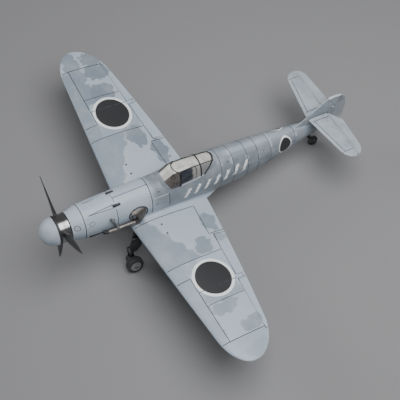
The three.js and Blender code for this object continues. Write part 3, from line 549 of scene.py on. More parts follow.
MATERIALS = {
    "wing": wing_paint(),
    "fuselage": fuselage_paint(),
    "plain": plain_paint("light_paint", LIGHT_BLUE_GREY),
    "tail": plain_paint("tail_paint", linear(172, 181, 190)),
    "rudder": fin_paint(),
    "ring": metal("polished_ring", linear(156, 156, 158), 0.2, 2.0, (1, 0.06, 1)),
    "pipe": metal("scoop_metal", linear(112, 107, 103), 0.44, 1.4, share=0.6),
    "steel": metal("steel", linear(150, 150, 152), 0.3, 2.0),
    "gunmetal": metal("gunmetal", linear(70, 70, 73), 0.4, 2.5),
    "blade": metal("blade_metal", linear(92, 92, 94), 0.32, 1.2, (0.3, 1, 0.3), 0.8),
    "black": moulded("black_plastic", linear(34, 35, 37)),
    "interior": moulded("cockpit_grey", linear(72, 76, 80), 0.7),
    "rubber": moulded("tyre_rubber", linear(50, 52, 54), 0.7, 3.0, 0.35),
    "leather": moulded("seat_pad", linear(88, 66, 48), 0.6, 1.6, 0.2),
    "belt": moulded("belt_webbing", linear(150, 138, 112), 0.8, 3.0, 0.2),
    "frame": moulded("canopy_frame", linear(20, 20, 22), 0.45),
    "bracket": moulded("bracket_grey", linear(96, 99, 103), 0.5),
    # painted shade: the gear doors lie in the wing's shadow, so they are coloured dark like the black legs
    "door": moulded("door_painted_shade", linear(40, 41, 43), 0.5),
    "spinner": plain_paint("spinner_paint", linear(174, 186, 198), 0.6),
    "darkpipe": metal("pipe_metal", linear(138, 134, 131), 0.38, 1.6, share=0.6),
    "exhaust": metal("burnt_metal", linear(84, 74, 66), 0.5, 2.4),
    "hub": metal("hub_metal", linear(178, 180, 182), 0.4, 2.0, share=0.5),
    "ridge": plain_paint("ridge_paint", linear(206, 212, 217)),
    # painted shade: the dark elevator nose and slot along the tail's hinge line
    "seam": plain_paint("hinge_gap_painted_shade", linear(88, 96, 105), 0.7),
    "wash": wash(),
    "clear": clear_moulding(),
}


# ---- mesh helpers ----
def mesh_object(name, points, faces, look, sharp=35):
    """A shaded object from points in metres."""
    mesh = bpy.data.meshes.new(name)
    mesh.from_pydata(np.asarray(points).tolist(), [], faces)
    mesh.validate()
    mesh.materials.append(MATERIALS[look])
    obj = bpy.data.objects.new(name, mesh)
    bpy.context.scene.collection.objects.link(obj)
    smooth(obj, sharp)
    return obj


def smooth(obj, sharp):
    obj.data.shade_smooth()
    obj.data.set_sharp_from_angle(angle=radians(sharp))


def loft(name, rings, look, closed=False, sharp=35):
    """A body through rings of equal length; its ends are capped unless it closes on itself."""
    rings = np.asarray(rings, float)
    count, size = rings.shape[:2]
    faces = []
    for r in range(count if closed else count - 1):
        low = r * size
        high = (r + 1) % count * size
        faces += [(low + i, low + (i + 1) % size, high + (i + 1) % size, high + i) for i in range(size)]
    if not closed:
        last = (count - 1) * size
        faces += [tuple(range(size - 1, -1, -1)), tuple(range(last, last + size))]
    obj = mesh_object(name, world(rings.reshape(-1, 3)), faces, look, sharp)
    face_out(obj)
    return obj


def face_out(obj):
    """Turns the faces outwards."""
    mesh = obj.data
    volume = 0.0
    mesh.calc_loop_triangles()
    for tri in mesh.loop_triangles:
        a, b, c = (mesh.vertices[v].co for v in tri.vertices)
        volume += a.dot(b.cross(c))
    if volume < 0:
        mesh.flip_normals()


def cross_frame(direction):
    """Two unit vectors square to a direction."""
    direction = np.asarray(direction, float) / np.linalg.norm(direction)
    helper = (0, 0, 1) if abs(direction[2]) < 0.9 else (1, 0, 0)
    u = np.cross(direction, helper)
    u /= np.linalg.norm(u)
    return u, np.cross(direction, u)


def tube(name, path, radius, look, sides=16, closed=False, round_ends=0.0):
    """A round bar along a path; radius is one number or one for each point."""
    path = np.asarray(path, float)
    radii = np.broadcast_to(np.asarray(radius, float), len(path)).copy()
    if round_ends:
        inset = []
        for end, near in ((path[0], path[1]), (path[-1], path[-2])):
            inset.append(end + (near - end) * min(0.5, round_ends / np.linalg.norm(near - end)))
        path = np.vstack([path[:1], inset[0], path[1:-1], inset[1], path[-1:]])
        small = radii - round_ends
        radii = np.concatenate([small[:1], radii[:1], radii[1:-1], radii[-1:], small[-1:]])
    ahead = np.roll(path, -1, 0) - path
    back = path - np.roll(path, 1, 0)
    if not closed:
        ahead[-1], back[0] = back[-1], ahead[0]
    along = ahead / np.linalg.norm(ahead, axis=1)[:, None] + back / np.linalg.norm(back, axis=1)[:, None]
    u, _ = cross_frame(along[0])
    turns = full_circle(sides)
    rings = []
    for point, direction, r in zip(path, along, radii):
        direction = direction / np.linalg.norm(direction)
        u = u - direction * u.dot(direction)
        u /= np.linalg.norm(u)
        v = np.cross(direction, u)
        rings.append(point + r * (np.outer(np.cos(turns), u) + np.outer(np.sin(turns), v)))
    return loft(name, rings, look, closed)


def bar(name, start, end, r0, look, r1=None, sides=32, bevel=0.0):
    return tube(name, [start, end], [r0, r0 if r1 is None else r1], look, sides, round_ends=bevel)


def short_bar(name, centre, half, r, look, sides, bevel=0.0):
    """A bar that reaches half, a vector, either side of its centre."""
    centre = np.asarray(centre, float)
    return bar(name, centre - half, centre + half, r, look, sides=sides, bevel=bevel)


def turned(name, profile, centre, axis, look, sides=64, sharp=35):
    """A body turned about an axis from a closed outline of (radius, place along the axis)."""
    axis = np.asarray(axis, float) / np.linalg.norm(axis)
    u, v = cross_frame(axis)
    rings = []
    for turn in full_circle(sides):
        out = cos(turn) * u + sin(turn) * v
        rings.append([np.asarray(centre) + r * out + h * axis for r, h in profile])
    return loft(name, rings, look, True, sharp)


def slab(name, outline, z0, z1, look):
    """An outline in plan carried from z0 up to z1."""
    return loft(name, [[(x, y, z) for x, y in outline] for z in (z0, z1)], look)


def box(name, x, y, z, look, bevel=0.0):
    made = slab(name, [(x[0], y[0]), (x[1], y[0]), (x[1], y[1]), (x[0], y[1])], *z, look)
    return soften(made, bevel) if bevel else made


def prism(name, outline, x0, x1, look, bevel=0.0):
    """An outline in the y-z plane carried from x0 to x1."""
    made = loft(name, [[(x, y, z) for y, z in outline] for x in (x0, x1)], look)
    return soften(made, bevel) if bevel else made


def soften(obj, width, angle=30):
    """Rounds the edges of an object, CAD nodes included, without touching its mesh."""
    bevel = obj.modifiers.new("soft_edges", "BEVEL")
    bevel.width = width * MM
    bevel.segments = 2
    bevel.limit_method = "ANGLE"
    bevel.angle_limit = radians(angle)
    bevel.harden_normals = True
    return obj


def settle(obj, sharp=35):
    """Applies an object's modifiers to its own mesh."""
    graph = bpy.context.evaluated_depsgraph_get()
    mesh = bpy.data.meshes.new_from_object(obj.evaluated_get(graph))
    obj.modifiers.clear()
    obj.data = mesh
    smooth(obj, sharp)
    return obj


def carve(obj, operation, others, sharp=35):
    """Cuts others from obj, or joins or crosses them with it; their material goes to the faces they make."""
    for other in others:
        step = obj.modifiers.new("carve", "BOOLEAN")
        step.operation = operation
        step.solver = "MANIFOLD"
        step.material_mode = "TRANSFER"
        step.object = other
    settle(obj, sharp)
    for other in others:
        bpy.data.objects.remove(other)
    return obj


def copy_of(obj, name):
    made = obj.copy()
    made.data = obj.data.copy()
    made.name = name
    bpy.context.scene.collection.objects.link(made)
    return made


def mirrored(obj, name):
    """A copy on the other side of the aircraft."""
    made = copy_of(obj, name)
    made.data.transform(Matrix.Scale(-1, 4, (1, 0, 0)))
    made.data.flip_normals()
    return made


def ride(obj, body, slot, *nodes):
    """Puts a finished piece on its body and hides the nodes it stands for; slot is not used."""
    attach(obj, body)
    if nodes:
        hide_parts(*nodes)


def fix(obj, slot, *nodes):
    """Puts a finished piece on the airframe."""
    ride(obj, "airframe", slot, *nodes)


# ---- grooves and holes in a skin ----
GROOVE_LIFT = 0.35  # how far a groove's cutter stands out of the skin, as a share of its radius


def groove(path, radius, closed=False):
    return tube("groove", path, radius, "wash", 8, closed)


def spread(points, spacing):
    """Evenly spaced pairs along a line through points; spacing gives the count for each stretch."""
    made = []
    for (a0, b0), (a1, b1) in zip(points, points[1:]):
        for t in np.linspace(0, 1, spacing(a1 - a0, b1 - b0))[(1 if made else 0):]:
            made.append((a0 + (a1 - a0) * t, b0 + (b1 - b0) * t))
    return made


def plan_line(chord_at, points, radius):
    """A groove along a line in plan on the upper skin of a lifting surface."""
    places = spread(points, lambda x, y: max(2, int(hypot(x, y) / 1.5) + 1))
    return groove([skin_point(chord_at, x, y) + (0, 0, GROOVE_LIFT * radius) for x, y in places], radius)


def hull_ring(y, radius=0.2):
    """A groove round the fuselage."""
    return groove(hull_point(np.full(96, float(y)), full_circle(96), GROOVE_LIFT * radius), radius, True)


def hull_line(points, radius=0.2, side=1):
    """A groove along the skin through (y, turn in degrees) points."""
    places = spread(points, lambda y, turn: max(3, int(max(abs(y), abs(turn) * 0.16) / 1.5) + 1))
    ys, turns = np.array(places, float).T
    return groove(hull_point(ys, np.radians(turns), GROOVE_LIFT * radius) * (side, 1, 1), radius)


def round_line(y, turn, radius, width, side):
    """A round groove on the skin about (y, turn in degrees)."""
    centre = hull_point(y, radians(turn))
    up = np.cross((cos(radians(turn)), 0, sin(radians(turn))), (0, 1, 0))
    path = []
    for t in full_circle(28):
        _, point_y, point_z = centre + radius * (cos(t) * np.array([0, 1, 0]) + sin(t) * up)
        path.append(hull_point(point_y, hull_turn(point_y, point_z)) * (side, 1, 1))
    return groove(path, width, True)


def pit(point, normal, radius, depth=0.3):
    normal = np.array(normal, float)
    return bar("pit", point - normal * depth, point + normal, radius, "wash", sides=16)


# ---- lifting surfaces ----
NOSE_GAP = 0.12


def surface(name, chord_at, xs, look, steps=36):
    """A closed lifting surface through the chords at xs."""
    fractions = (1 - np.cos(np.linspace(0, pi, steps + 1))) / 2
    rings = []
    for x in xs:
        lead, trail = (float(v) for v in chord_at(x)[:2])
        ys = lead + fractions * (trail - lead)
        rings.append(np.vstack([skin_point(chord_at, x, ys, 1), skin_point(chord_at, x, ys[::-1], -1)]))
    return loft(name, rings, look, sharp=50)


def rounding_stops(start, flat_count, tip_start, end, tip_count):
    """Places along a half surface, closer together where the tip rounds off."""
    tip = tip_start + (end - tip_start) * np.sin(np.linspace(0, pi / 2, tip_count))
    return np.concatenate([np.linspace(start, tip_start, flat_count)[:-1], tip])


# half height and length of the block that parts a flap or aileron from the wing
BAY_HALF, BAY_LENGTH = 8, 40


def hinge_bay(x0, x1, gap, side):
    """The block behind the wing's hinge line from x0 to x1."""
    start, end = wing_hinge(x0), wing_hinge(x1)
    along = (end - start) / np.linalg.norm(end - start)
    back = np.array([0, 1, 0]) - along * along[1]
    back /= np.linalg.norm(back)
    up = np.cross(along, back)
    start, end = start - along * gap, end + along * gap
    reach = ((start, 0), (end, 0), (end, BAY_LENGTH), (start, BAY_LENGTH))
    rings = [[place + far * back + u * up for place, far in reach] for u in (-BAY_HALF, BAY_HALF)]
    return loft("bay", np.array(rings) * (side, 1, 1), "wash" if gap else "wing")


def hinge_bar(x0, x1, gap, side):
    """The round nose of a flap or aileron, along its hinge line; its dark colour is painted shade, which
    shows as a dark line in the slot.
    """
    start, end = wing_hinge(x0), wing_hinge(x1)
    extra = (end - start) / np.linalg.norm(end - start) * gap
    r0, r1 = (float(half_depth(wing_chord, *place[:2])) + gap for place in (start, end))
    return bar("nose", (start - extra) * (side, 1, 1), (end + extra) * (side, 1, 1), r0, "wash", r1)


# panel lines on the top of the port wing, in plan, and their radius
WING_LINES = [
    ([(52.8, 50.8), (52.8, 57.9), (91.2, 57.9)], 0.24),
    ([(43.7, 50.0), (43.7, 82.2)], 0.22),
    ([(61.6, 58), (61.9, 80.4)], 0.2),
    ([(70, 58), (70, 79.8)], 0.22),
    ([(91.4, 54.0), (91.4, 80.6)], 0.24),
    ([(13.6, 83.0), (32.7, 81.4), (33.0, 90.2)], 0.24),
    ([(12.9, 47.6), (13.2, 66), (13.6, 83.0)], 0.22),
]
# filler holes, and the fasteners along the inner panel: x, y, radius
WING_PITS = [(17.5, 61, 0.55), (23.6, 61, 0.55), (62, 84.5, 0.4)]
WING_PITS += [(14.6 + 3.0 * i, 82.1 - 0.09 * i * 3, 0.16) for i in range(6)]
WELL = {"x": 40, "y": 57, "r": 5.5, "slot": 2.0, "depth": 1.2, "leg": (15.5, 50.2), "leg_x": 15}


def wheel_well(side):
    """The recess under the wing for a folded wheel and its leg."""
    outer, inner = (WING["root_z"] + x * WING["slope"] - WELL["depth"] for x in (WELL["x"], WELL["leg_x"]))
    centre = np.array([side * WELL["x"], WELL["y"], outer])
    half = WELL["slot"]
    low = []
    for (x, y), z, signs in ((WELL["leg"], inner, (-1, 1)), ((WELL["x"], WELL["y"]), outer, (1, -1))):
        low += [(side * x, y + s * half, z - 8) for s in signs]
    low = [low[0], low[3], low[2], low[1]]
    slot = loft("slot", [low, [(x, y, z + 8) for x, y, z in low]], "wash")
    return [bar("well", centre, centre - (0, 0, 8), WELL["r"], "wash", sides=48), slot]


def build_wing():
    half = rounding_stops(0, 62, WING["tip_start"], HALF_SPAN, 26)
    whole = surface("wing_skin", wing_chord, np.concatenate([-half[:0:-1], half]), "wing")
    movers = {}
    for side, name in SIDES:
        for kind, (x0, x1) in (("flap", FLAP), ("aileron", AILERON)):
            mover = copy_of(whole, kind + "_skin_" + name)
            carve(mover, "INTERSECT", [hinge_bay(x0, x1, 0, side)], 50)
            movers[kind + "_" + name] = carve(mover, "UNION", [hinge_bar(x0, x1, 0, side)], 50)
    cutters = []
    for side, _ in SIDES:
        for x0, x1 in (FLAP, AILERON):
            cutters += [hinge_bay(x0, x1, PLAY, side), hinge_bar(x0, x1, NOSE_GAP, side)]
        cutters += wheel_well(side)
        cutters += [plan_line(wing_chord, [(side * x, y) for x, y in line], r) for line, r in WING_LINES]
        cutters += [pit(skin_point(wing_chord, side * x, y), (0, 0, 1), r) for x, y, r in WING_PITS]
    carve(whole, "DIFFERENCE", cutters, 50)
    fix(whole, "grey_blue_paint", "upper_wing_left", "upper_wing_right", "lower_wing")
    for node, mover in movers.items():
        ride(mover, node, "grey_blue_paint", node)


TAIL_NOSE_MIN = 0.62
ELEVATOR_ROOT = TAIL["root"] + 0.6
# the inner rear corner of the elevator, cut off to clear the rudder, in plan
ELEVATOR_CORNER = [(-1, 175.6), (2.6, 175.6), (9.8, 182), (-1, 190)]
TAIL_LINES = [
    [(x, 163.2 + 0.19 * x) for x in (4, 12, 20, 27.5)],
    [(28, 166.9), (28, 173.8)],
    [(3.8, 163), (3.8, 173.8)],
]


def tail_nose(x0, x1, gap):
    """The round nose of the port elevator, dark as painted shade in its slot."""
    radii = []
    for x in (x0, x1):
        nose = float(half_depth(tail_chord, min(x, 31), TAIL["hinge_y"]))
        radii.append(max(nose, TAIL_NOSE_MIN) + gap)
    ends = [(x, TAIL["hinge_y"], TAIL["z"]) for x in (x0, x1)]
    return bar("nose", *ends, radii[0], "seam", radii[1], 28)


def behind_hinge(x0, look):
    return box("behind", (x0, 40), (TAIL["hinge_y"], 190), (10, 22), look)


def build_tailplane():
    xs = rounding_stops(TAIL["root"], 18, TAIL["tip_start"], TAIL["tip"], 16)
    whole = surface("stabilizer_skin_left", tail_chord, xs, "tail", 28)
    elevator = copy_of(whole, "elevator_skin_left")
    carve(elevator, "INTERSECT", [behind_hinge(ELEVATOR_ROOT, "tail")], 50)
    carve(elevator, "UNION", [tail_nose(ELEVATOR_ROOT, 32, 0)], 50)
    carve(elevator, "DIFFERENCE", [slab("corner", ELEVATOR_CORNER, 10, 22, "tail")], 50)
    cutters = [
        behind_hinge(ELEVATOR_ROOT - 1, "wash"),
        tail_nose(TAIL["root"] - 1, TAIL["tip"] + 0.5, NOSE_GAP),
    ]
    cutters += [plan_line(tail_chord, line, 0.18) for line in TAIL_LINES]
    carve(whole, "DIFFERENCE", cutters, 50)
    pad = box("pad", (TAIL["root"] - 0.1, 3), (162.4, 172), (TAIL["z"] - 0.9, TAIL["z"] + 0.9), "tail", 0.3)
    carve(whole, "UNION", [settle(pad)], 50)
    for obj, node, body in ((whole, "stabilizer", "airframe"), (elevator, "elevator", "elevators")):
        other = mirrored(obj, node + "_skin_right")
        for made, name in ((obj, "left"), (other, "right")):
            ride(made, body, "grey_blue_paint", node + "_" + name)


# ---- fin and rudder ----
# z, y of the leading edge
FIN_EDGE = [(8, 148.9), (11.5, 153.9), (13.6, 156.9), (18, 161.2), (23, 166.2), (28.4, 171.6)]
FIN_HALF = 1.2
LUGS = (6.4, 12.4, 20.4)
# z, y of the trailing edge
RUDDER_EDGE = [
    (3.2, 186.4), (6, 188.2), (10, 188.8), (15, 188.3),
    (20, 187.1), (24, 185.6), (27, 183.4), (29, 180.4),
]
RUDDER_NOSE = 0.95
RUDDER_HORN = [(172, 28.5), (178.2, 21.7), (180.2, 21.7), (180.2, 29), (176, 29.25), (172.8, 28.95)]


def build_fin():
    front, = table_curves(FIN_EDGE)
    share = (1 - np.cos(np.linspace(0, pi, 15))) / 2
    rings = []
    for z in np.linspace(8, 28.4, 34):
        lead = float(front(z))
        rear = max(TAIL_POST - max(z - 23.4, 0) * 4.4 / 5.0, lead + 0.4)
        slim = min(1.0, (rear - lead) / 9) * (1 - 0.35 * (z - 8) / 20.4)
        half = np.maximum(FIN_HALF * slim * np.sqrt(np.minimum(share * 2.6, 1)), 0.12)
        port = [(h, y, z) for h, y in zip(half, lead + share * (rear - lead))]
        rings.append(port + [(-x, y, h) for x, y, h in port[::-1]])
    fin = loft("fin_skin", rings, "rudder", sharp=50)
    span = (TAIL_POST - 0.6, RUDDER_HINGE_Y + 0.5)
    carve(fin, "UNION", [box("lug", (-0.7, 0.7), span, (z, z + 1), "rudder") for z in LUGS[1:]], 50)
    fix(fin, "grey_blue_paint")


def build_rudder():
    edge, = table_curves(RUDDER_EDGE)
    turn = np.linspace(0, pi, 13) + pi / 2
    rings = []
    for z in np.linspace(3.2, 29, 44):
        nose_r = RUDDER_NOSE * (1 - 0.25 * max(0.0, (z - 20) / 9))
        nose = [(nose_r * sin(t), RUDDER_HINGE_Y + nose_r * cos(t), z) for t in turn]
        trail = float(edge(z)) - 0.03
        rings.append(nose + [(-0.22, trail, z), (0.22, trail, z)])
    rudder = loft("rudder_skin", rings, "rudder", sharp=50)
    carve(rudder, "UNION", [settle(prism("horn", RUDDER_HORN, -0.7, 0.7, "rudder", 0.3))], 50)
    span = (TAIL_POST - 1, RUDDER_HINGE_Y + 1.1)
    notches = [box("notch", (-2, 2), span, (z - PLAY, z + 1 + PLAY), "rudder") for z in LUGS]
    carve(rudder, "DIFFERENCE", notches, 50)
    ride(rudder, "rudder", "grey_blue_paint", "rudder")


# ---- fuselage ----
GUN = {"x": 4.1, "y": 39.4, "z": 9.7, "r": 0.75}
TROUGH = {"x": 4.3, "y": 24.5, "z": 9.62, "r": 0.3, "end": 0.85}
EXHAUST = {"from": 23.6, "to": 32.4, "z": -3.4, "half": 0.8, "stubs": 6, "reach": 9.1}
TUB_HALF = 5.6
# panel lines round the fuselage: y, radius
HULL_RINGS = [(COWL_SEAM, 0.26), (59.3, 0.26)]
HULL_RINGS += [(y, 0.2) for y in (101.5, 109.5, 118.8, 126, 134.8, 152.5)]
# fasteners and small holes on each side: y, turn in degrees, radius
HULL_PITS = [(62, 22, 0.35), (64, 55, 0.4), (17.6, 38, 0.25), (106, 60, 0.4), (130, 50, 0.35)]
HULL_PITS += [(57.6, turn, 0.16) for turn in range(-20, 88, 12)]
HULL_PITS += [(23.4, turn, 0.16) for turn in range(-20, 70, 15)]


def hull_body(name, y0, y1, grow=0.0, look="fuselage"):
    rings = [hull_point(y, full_circle(96), grow) for y in np.linspace(y0, y1, int((y1 - y0) / 1.4) + 2)]
    return loft(name, rings, look, sharp=45)


def fuselage_lines():
    """Panel lines round and along the fuselage."""
    gun_turn, low_turn = (degrees(hull_turn(39, z)) for z in (8.6, -2))
    made = [hull_ring(*ring) for ring in HULL_RINGS]
    made.append(hull_line([(39.4, 90), (59.3, 90)]))
    for side, _ in SIDES:
        made.append(hull_line([(39.4, gun_turn), (39.4, low_turn)], 0.2, side))
        made.append(hull_line([(39.4, 90), (39.4, 74)], 0.15, side))
        made.append(round_line(17.6, 38, 1.45, 0.17, side))
        made.append(round_line(25.4, 36, 1.3, 0.12, side))
        made.append(hull_line([(24.6, 64.5), (38.4, 70)], 0.17, side))
        made.append(hull_line([(24.6, 64), (38.4, 59)], 0.17, side))
        made.append(hull_line([(22, -24), (59.3, -22)], 0.18, side))
        made.append(hull_line([(69.4, 40), (69.4, 2)], 0.24, side))
        made.append(hull_line([(101.5, 24), (152.5, 24)], 0.12, side))
    return made


def fuselage_pits():
    made = []
    for side, _ in SIDES:
        for y, turn, r in HULL_PITS:
            point = hull_point(y, radians(turn)) * (side, 1, 1)
            made.append(pit(point, (side * cos(radians(turn)), 0, sin(radians(turn))), r, 0.25))
    return made


def build_fuselage():
    body = hull_body("fuselage_skin", NOSE_FRONT, TAIL_POST)
    half = TUB_HALF + 0.08
    cutters = [
        glazing("cavity", -0.8, 70.4, "interior"),
        box("cockpit", (-half, half), (70.4, 96.1), (-4.9, 20), "interior"),
    ]
    low, high = EXHAUST["z"] - EXHAUST["half"], EXHAUST["z"] + EXHAUST["half"]
    for side, _ in SIDES:
        port = np.array([side * GUN["x"], GUN["y"], GUN["z"]])
        start = (side * TROUGH["x"], TROUGH["y"], TROUGH["z"])
        span = sorted((side * 6, side * 12))
        cutters += [
            bar("port", port - (0, 0.6, 0), port + (0, 0.5, 0), GUN["r"] + 0.1, "wash", sides=24),
            bar("trough", start, port - (0, 0.9, -0.25), TROUGH["r"], "fuselage", TROUGH["end"], 20),
            box("slot", span, (EXHAUST["from"], EXHAUST["to"]), (low, high), "wash"),
        ]
    carve(body, "DIFFERENCE", cutters + fuselage_lines() + fuselage_pits(), 45)
    fix(body, "mottled_paint", "fuselage_left", "fuselage_right", "nose_ring")


# y, how far the wing root's fillet reaches out, how far up
FILLET = [(44, 0.4, 0.4), (50, 1.6, 1.4), (70, 2.4, 2.2), (86, 3.4, 3.0), (94, 2.6, 2.4), (101, 0.15, 0.3)]


def build_fillets():
    """The smooth corner between the wing root and the fuselage side."""
    out, up = table_curves(FILLET)
    t = np.linspace(0, 1, 12)[:, None]
    for side, name in SIDES:
        rings = []
        for y in np.linspace(45.5, 101, 60):
            top = float(skin_point(wing_chord, 11, y)[2]) - (0.35 if y > wing_chord(11)[1] else 0.1)
            reach, rise = float(out(y)), float(up(y))
            foot = hull_point(y, hull_turn(y, top))[0]
            head = hull_point(y, hull_turn(y, top + rise))[0] - 0.05
            edge = (1 - t) ** 2 * (foot + reach, top) + 2 * t * (1 - t) * (foot + 0.1, top + 0.1)
            edge = edge + t**2 * (head, top + rise)
            base = top - 0.3
            points = [(foot - 2, base), (foot + reach, base), *edge.tolist(), (foot - 2, top + rise)]
            rings.append([(side * x, y, h) for x, h in points])
        fix(loft("root_fillet_" + name, rings, "wing", sharp=50), "grey_blue_paint")


# ---- cockpit glazing ----
HOOD_START, HOOD_KINK, HOOD_END = CANOPY[0][0], CANOPY[1][0], CANOPY[-1][0]
windscreen_ends = np.array(CANOPY[:2], float)
hood_curves = table_curves(CANOPY[1:])
# outlines in the y-z plane of the painted ends of the hood
HOOD_REAR = [(89.5, 4), (89.5, 10.1), (98.4, 17.2), (98.4, 25), (112, 25), (112, 4)]
HOOD_FRONT = [(56, 4), (71, 4), (71, 9.0), (68.2, 12.6), (65.8, 20), (56, 20)]
# half width of the hood's top panel at its ends, where they lie, and where the rounded front reaches
HOOD_TOP = {"front": 3.5, "rear": 2.95, "front_y": 76.5, "rear_y": 97.6, "bow_y": 73.4}
SLANT_FRAME = [(88.5, 9.6), (89.7, 9.6), (98.8, 17.3), (97.7, 17.3)]


def canopy_section(y, grow):
    """The section of the glazing at y, from the port sill over the crown to the other."""
    if y < HOOD_KINK:
        row = [np.interp(y, windscreen_ends[:, 0], column) for column in windscreen_ends.T[1:]]
    else:
        row = [curve(y) for curve in hood_curves]
    sill, sill_z, shoulder, shoulder_z, crown = (float(value) for value in row)
    side = np.array([
        (sill + grow, sill_z - 1.5),
        (sill + grow, sill_z),
        (sill + grow - 0.3, (sill_z + shoulder_z) / 2),
        (shoulder + 1.1 + grow, shoulder_z - 1.6 + grow * 0.3),
        (shoulder + grow * 0.6, shoulder_z + grow * 0.8),
        (shoulder * 0.5, crown - 0.25 + grow),
        (0, crown + grow),
    ])
    return np.vstack([side, side[-2::-1] * (-1, 1)])


def rounded(points, rounds=2):
    """An open outline with its corners cut back, and its ends kept."""
    for _ in range(rounds):
        near = 0.78 * points[:-1] + 0.22 * points[1:]
        far = 0.22 * points[:-1] + 0.78 * points[1:]
        points = np.vstack([points[:1], np.stack([near, far], 1).reshape(-1, 2), points[-1:]])
    return points


def on_hood(x, y):
    """The point just above the hood's skin at x and y."""
    outline = rounded(canopy_section(y, 0))
    half = outline[outline[:, 0] >= 0]
    return x, y, float(np.interp(-abs(x), -half[:, 0], half[:, 1])) + 0.02


def glazing(name, grow, start=HOOD_START, look="clear"):
    """The cockpit hood as a solid, with its skin moved out by grow."""
    rings = []
    for y in [*np.linspace(start, HOOD_KINK, 8), *np.linspace(HOOD_KINK, HOOD_END, 24)[1:]]:
        share = (y - HOOD_START) / (HOOD_END - HOOD_START)
        place = y - 2 * grow * (1 - share) + grow * share
        if start > HOOD_START:
            place = y + (grow if y == HOOD_END else 0)
        rings.append([(x, place, z) for x, z in rounded(canopy_section(y, grow))])
    return loft(name, rings, look, sharp=30)


def framed(name, limit, look="frame", slot="black_plastic"):
    """A band of hood framing where the limit body crosses the hood's skin."""
    band = glazing(name, 0.13, look=look)
    carve(band, "INTERSECT", [limit], 30)
    inside = [glazing("inside", -0.2, look=look), hull_body("hull", 50, 120, -0.02, look)]
    carve(band, "DIFFERENCE", inside, 30)
    fix(band, slot)


def build_canopy():
    hood = glazing("canopy_glass", 0)
    cutters = [glazing("inside", -0.45), hull_body("hull", 50, 120, 0.04, "clear")]
    cutters += [prism("end", outline, -14, 14, "clear") for outline in (HOOD_REAR, HOOD_FRONT)]
    carve(hood, "DIFFERENCE", cutters, 30)
    fix(hood, "clear_moulding", "canopy")
    for name, outline in (("hood_rear_fairing", HOOD_REAR), ("windscreen_foot", HOOD_FRONT)):
        fairing = glazing(name, 0.05, look="fuselage")
        fix(carve(fairing, "INTERSECT", [prism("end", outline, -14, 14, "fuselage")], 30), "mottled_paint")
    framed("hood_front_frame", box("band", (-12, 12), (75.9, 77.0), (0, 17.2), "frame"))
    framed("hood_rear_frame", box("band", (-12, 12), (88.5, 89.3), (0, 30), "frame"))
    framed("hood_slant_frame", prism("slant", SLANT_FRAME, -12, 12, "frame"))
    sill = hull_body("sill", 60, 104, 0.35, "ridge")
    carve(sill, "INTERSECT", [box("span", (-12, 12), (76.6, 91), (0, 30), "ridge")], 30)
    framed("hood_sill", sill, "ridge", "grey_blue_paint")
    front, rear, front_y = HOOD_TOP["front"], HOOD_TOP["rear"], HOOD_TOP["front_y"]
    rail = list(zip(np.linspace(rear, front, 20), np.linspace(HOOD_TOP["rear_y"], front_y, 20)))
    reach = front_y - HOOD_TOP["bow_y"]
    bow = [(front * cos(t), front_y - reach * sin(t)) for t in np.linspace(0, pi, 24)[1:-1]]
    loop = [on_hood(x, y) for x, y in rail + bow + [(-x, y) for x, y in reversed(rail)]]
    fix(tube("hood_top_rail", loop, 0.27, "frame", 14, round_ends=0.06), "black_plastic")
    for side, name in SIDES:
        pillar = [on_hood(side * (y / 22), y) for y in np.linspace(68, 75.6, 12)]
        fix(tube("windscreen_pillar_" + name, pillar, 0.22, "frame", 14, round_ends=0.06), "black_plastic")
        ridge = hull_point(np.linspace(60.5, 69, 8), np.radians(40), 0.02) * (side, 1, 1)
        fix(tube("panel_ridge_" + name, ridge, 0.17, "ridge", 12, round_ends=0.05), "grey_blue_paint")


COAMING = [(67.2, 9.2), (71.2, 9.2), (72.8, 9.9), (72.6, 10.6), (70.6, 11.2), (67.6, 10.4)]
HEAD_PAD = [(91.0, 10.8), (91.8, 10.8), (92.4, 14.0), (91.6, 14.0)]
REAR_DECK = [(93.2, 5.2), (98.4, 6.0), (98.2, 14.2), (93.6, 13.6)]
BELT = [(1.0, 90.2, 7.6), (1.1, 88.9, 4.0), (1.2, 87.7, 0.6), (1.3, 84.5, 0.15)]
DIALS = [(-2.2, 8.5, 0.75), (0, 8.6, 0.85), (2.2, 8.5, 0.75), (-1.2, 7.5, 0.4), (1.2, 7.5, 0.4)]


def build_cockpit():
    """Fittings inside the cockpit, on top of the CAD's tub, seat, panel and stick."""
    fittings = [
        box("seat_cushion", (-2.5, 2.5), (81.2, 87.4), (-1.2, -0.2), "leather", 0.35),
        prism("coaming", COAMING, -4.2, 4.2, "black", 0.4),
        prism("head_plate", [(91.6, 7), (92.4, 7), (93.6, 15.2), (92.8, 15.2)], -3.4, 3.4, "interior", 0.25),
        prism("head_pad", HEAD_PAD, -1.6, 1.6, "leather", 0.35),
        box("sight_base", (-0.9, 0.9), (70.6, 72.4), (10.9, 12.0), "black", 0.2),
        box("sight_glass", (-0.75, 0.75), (71.4, 71.65), (12.0, 13.8), "clear", 0.06),
        box("side_console_left", (3.3, 4.7), (73.5, 84), (-0.6, 3.4), "interior", 0.25),
        box("side_console_right", (-4.7, -3.3), (73.5, 84), (-0.6, 3.4), "interior", 0.25),
        prism("rear_deck", REAR_DECK, -4.4, 4.4, "interior", 0.5),
    ]
    for side, name in SIDES:
        path = [(side * x, y, z) for x, y, z in BELT]
        ends = (side * 4.0, 77 + side, 3.2), (side * 4.0, 76.4 + side, 5.4)
        fittings += [
            tube("belt_" + name, path, 0.32, "belt", 10, round_ends=0.1),
            bar("throttle_" + name, *ends, 0.25, "black", 0.45, 14, 0.12),
        ]
    for x, z, r in DIALS:
        dial = bar("dial_%d" % len(fittings), (x, 72.3, z), (x, 72.75, z), r, "steel", sides=24, bevel=0.12)
        fittings.append(dial)
    for made in fittings:
        fix(made, "cockpit_grey")


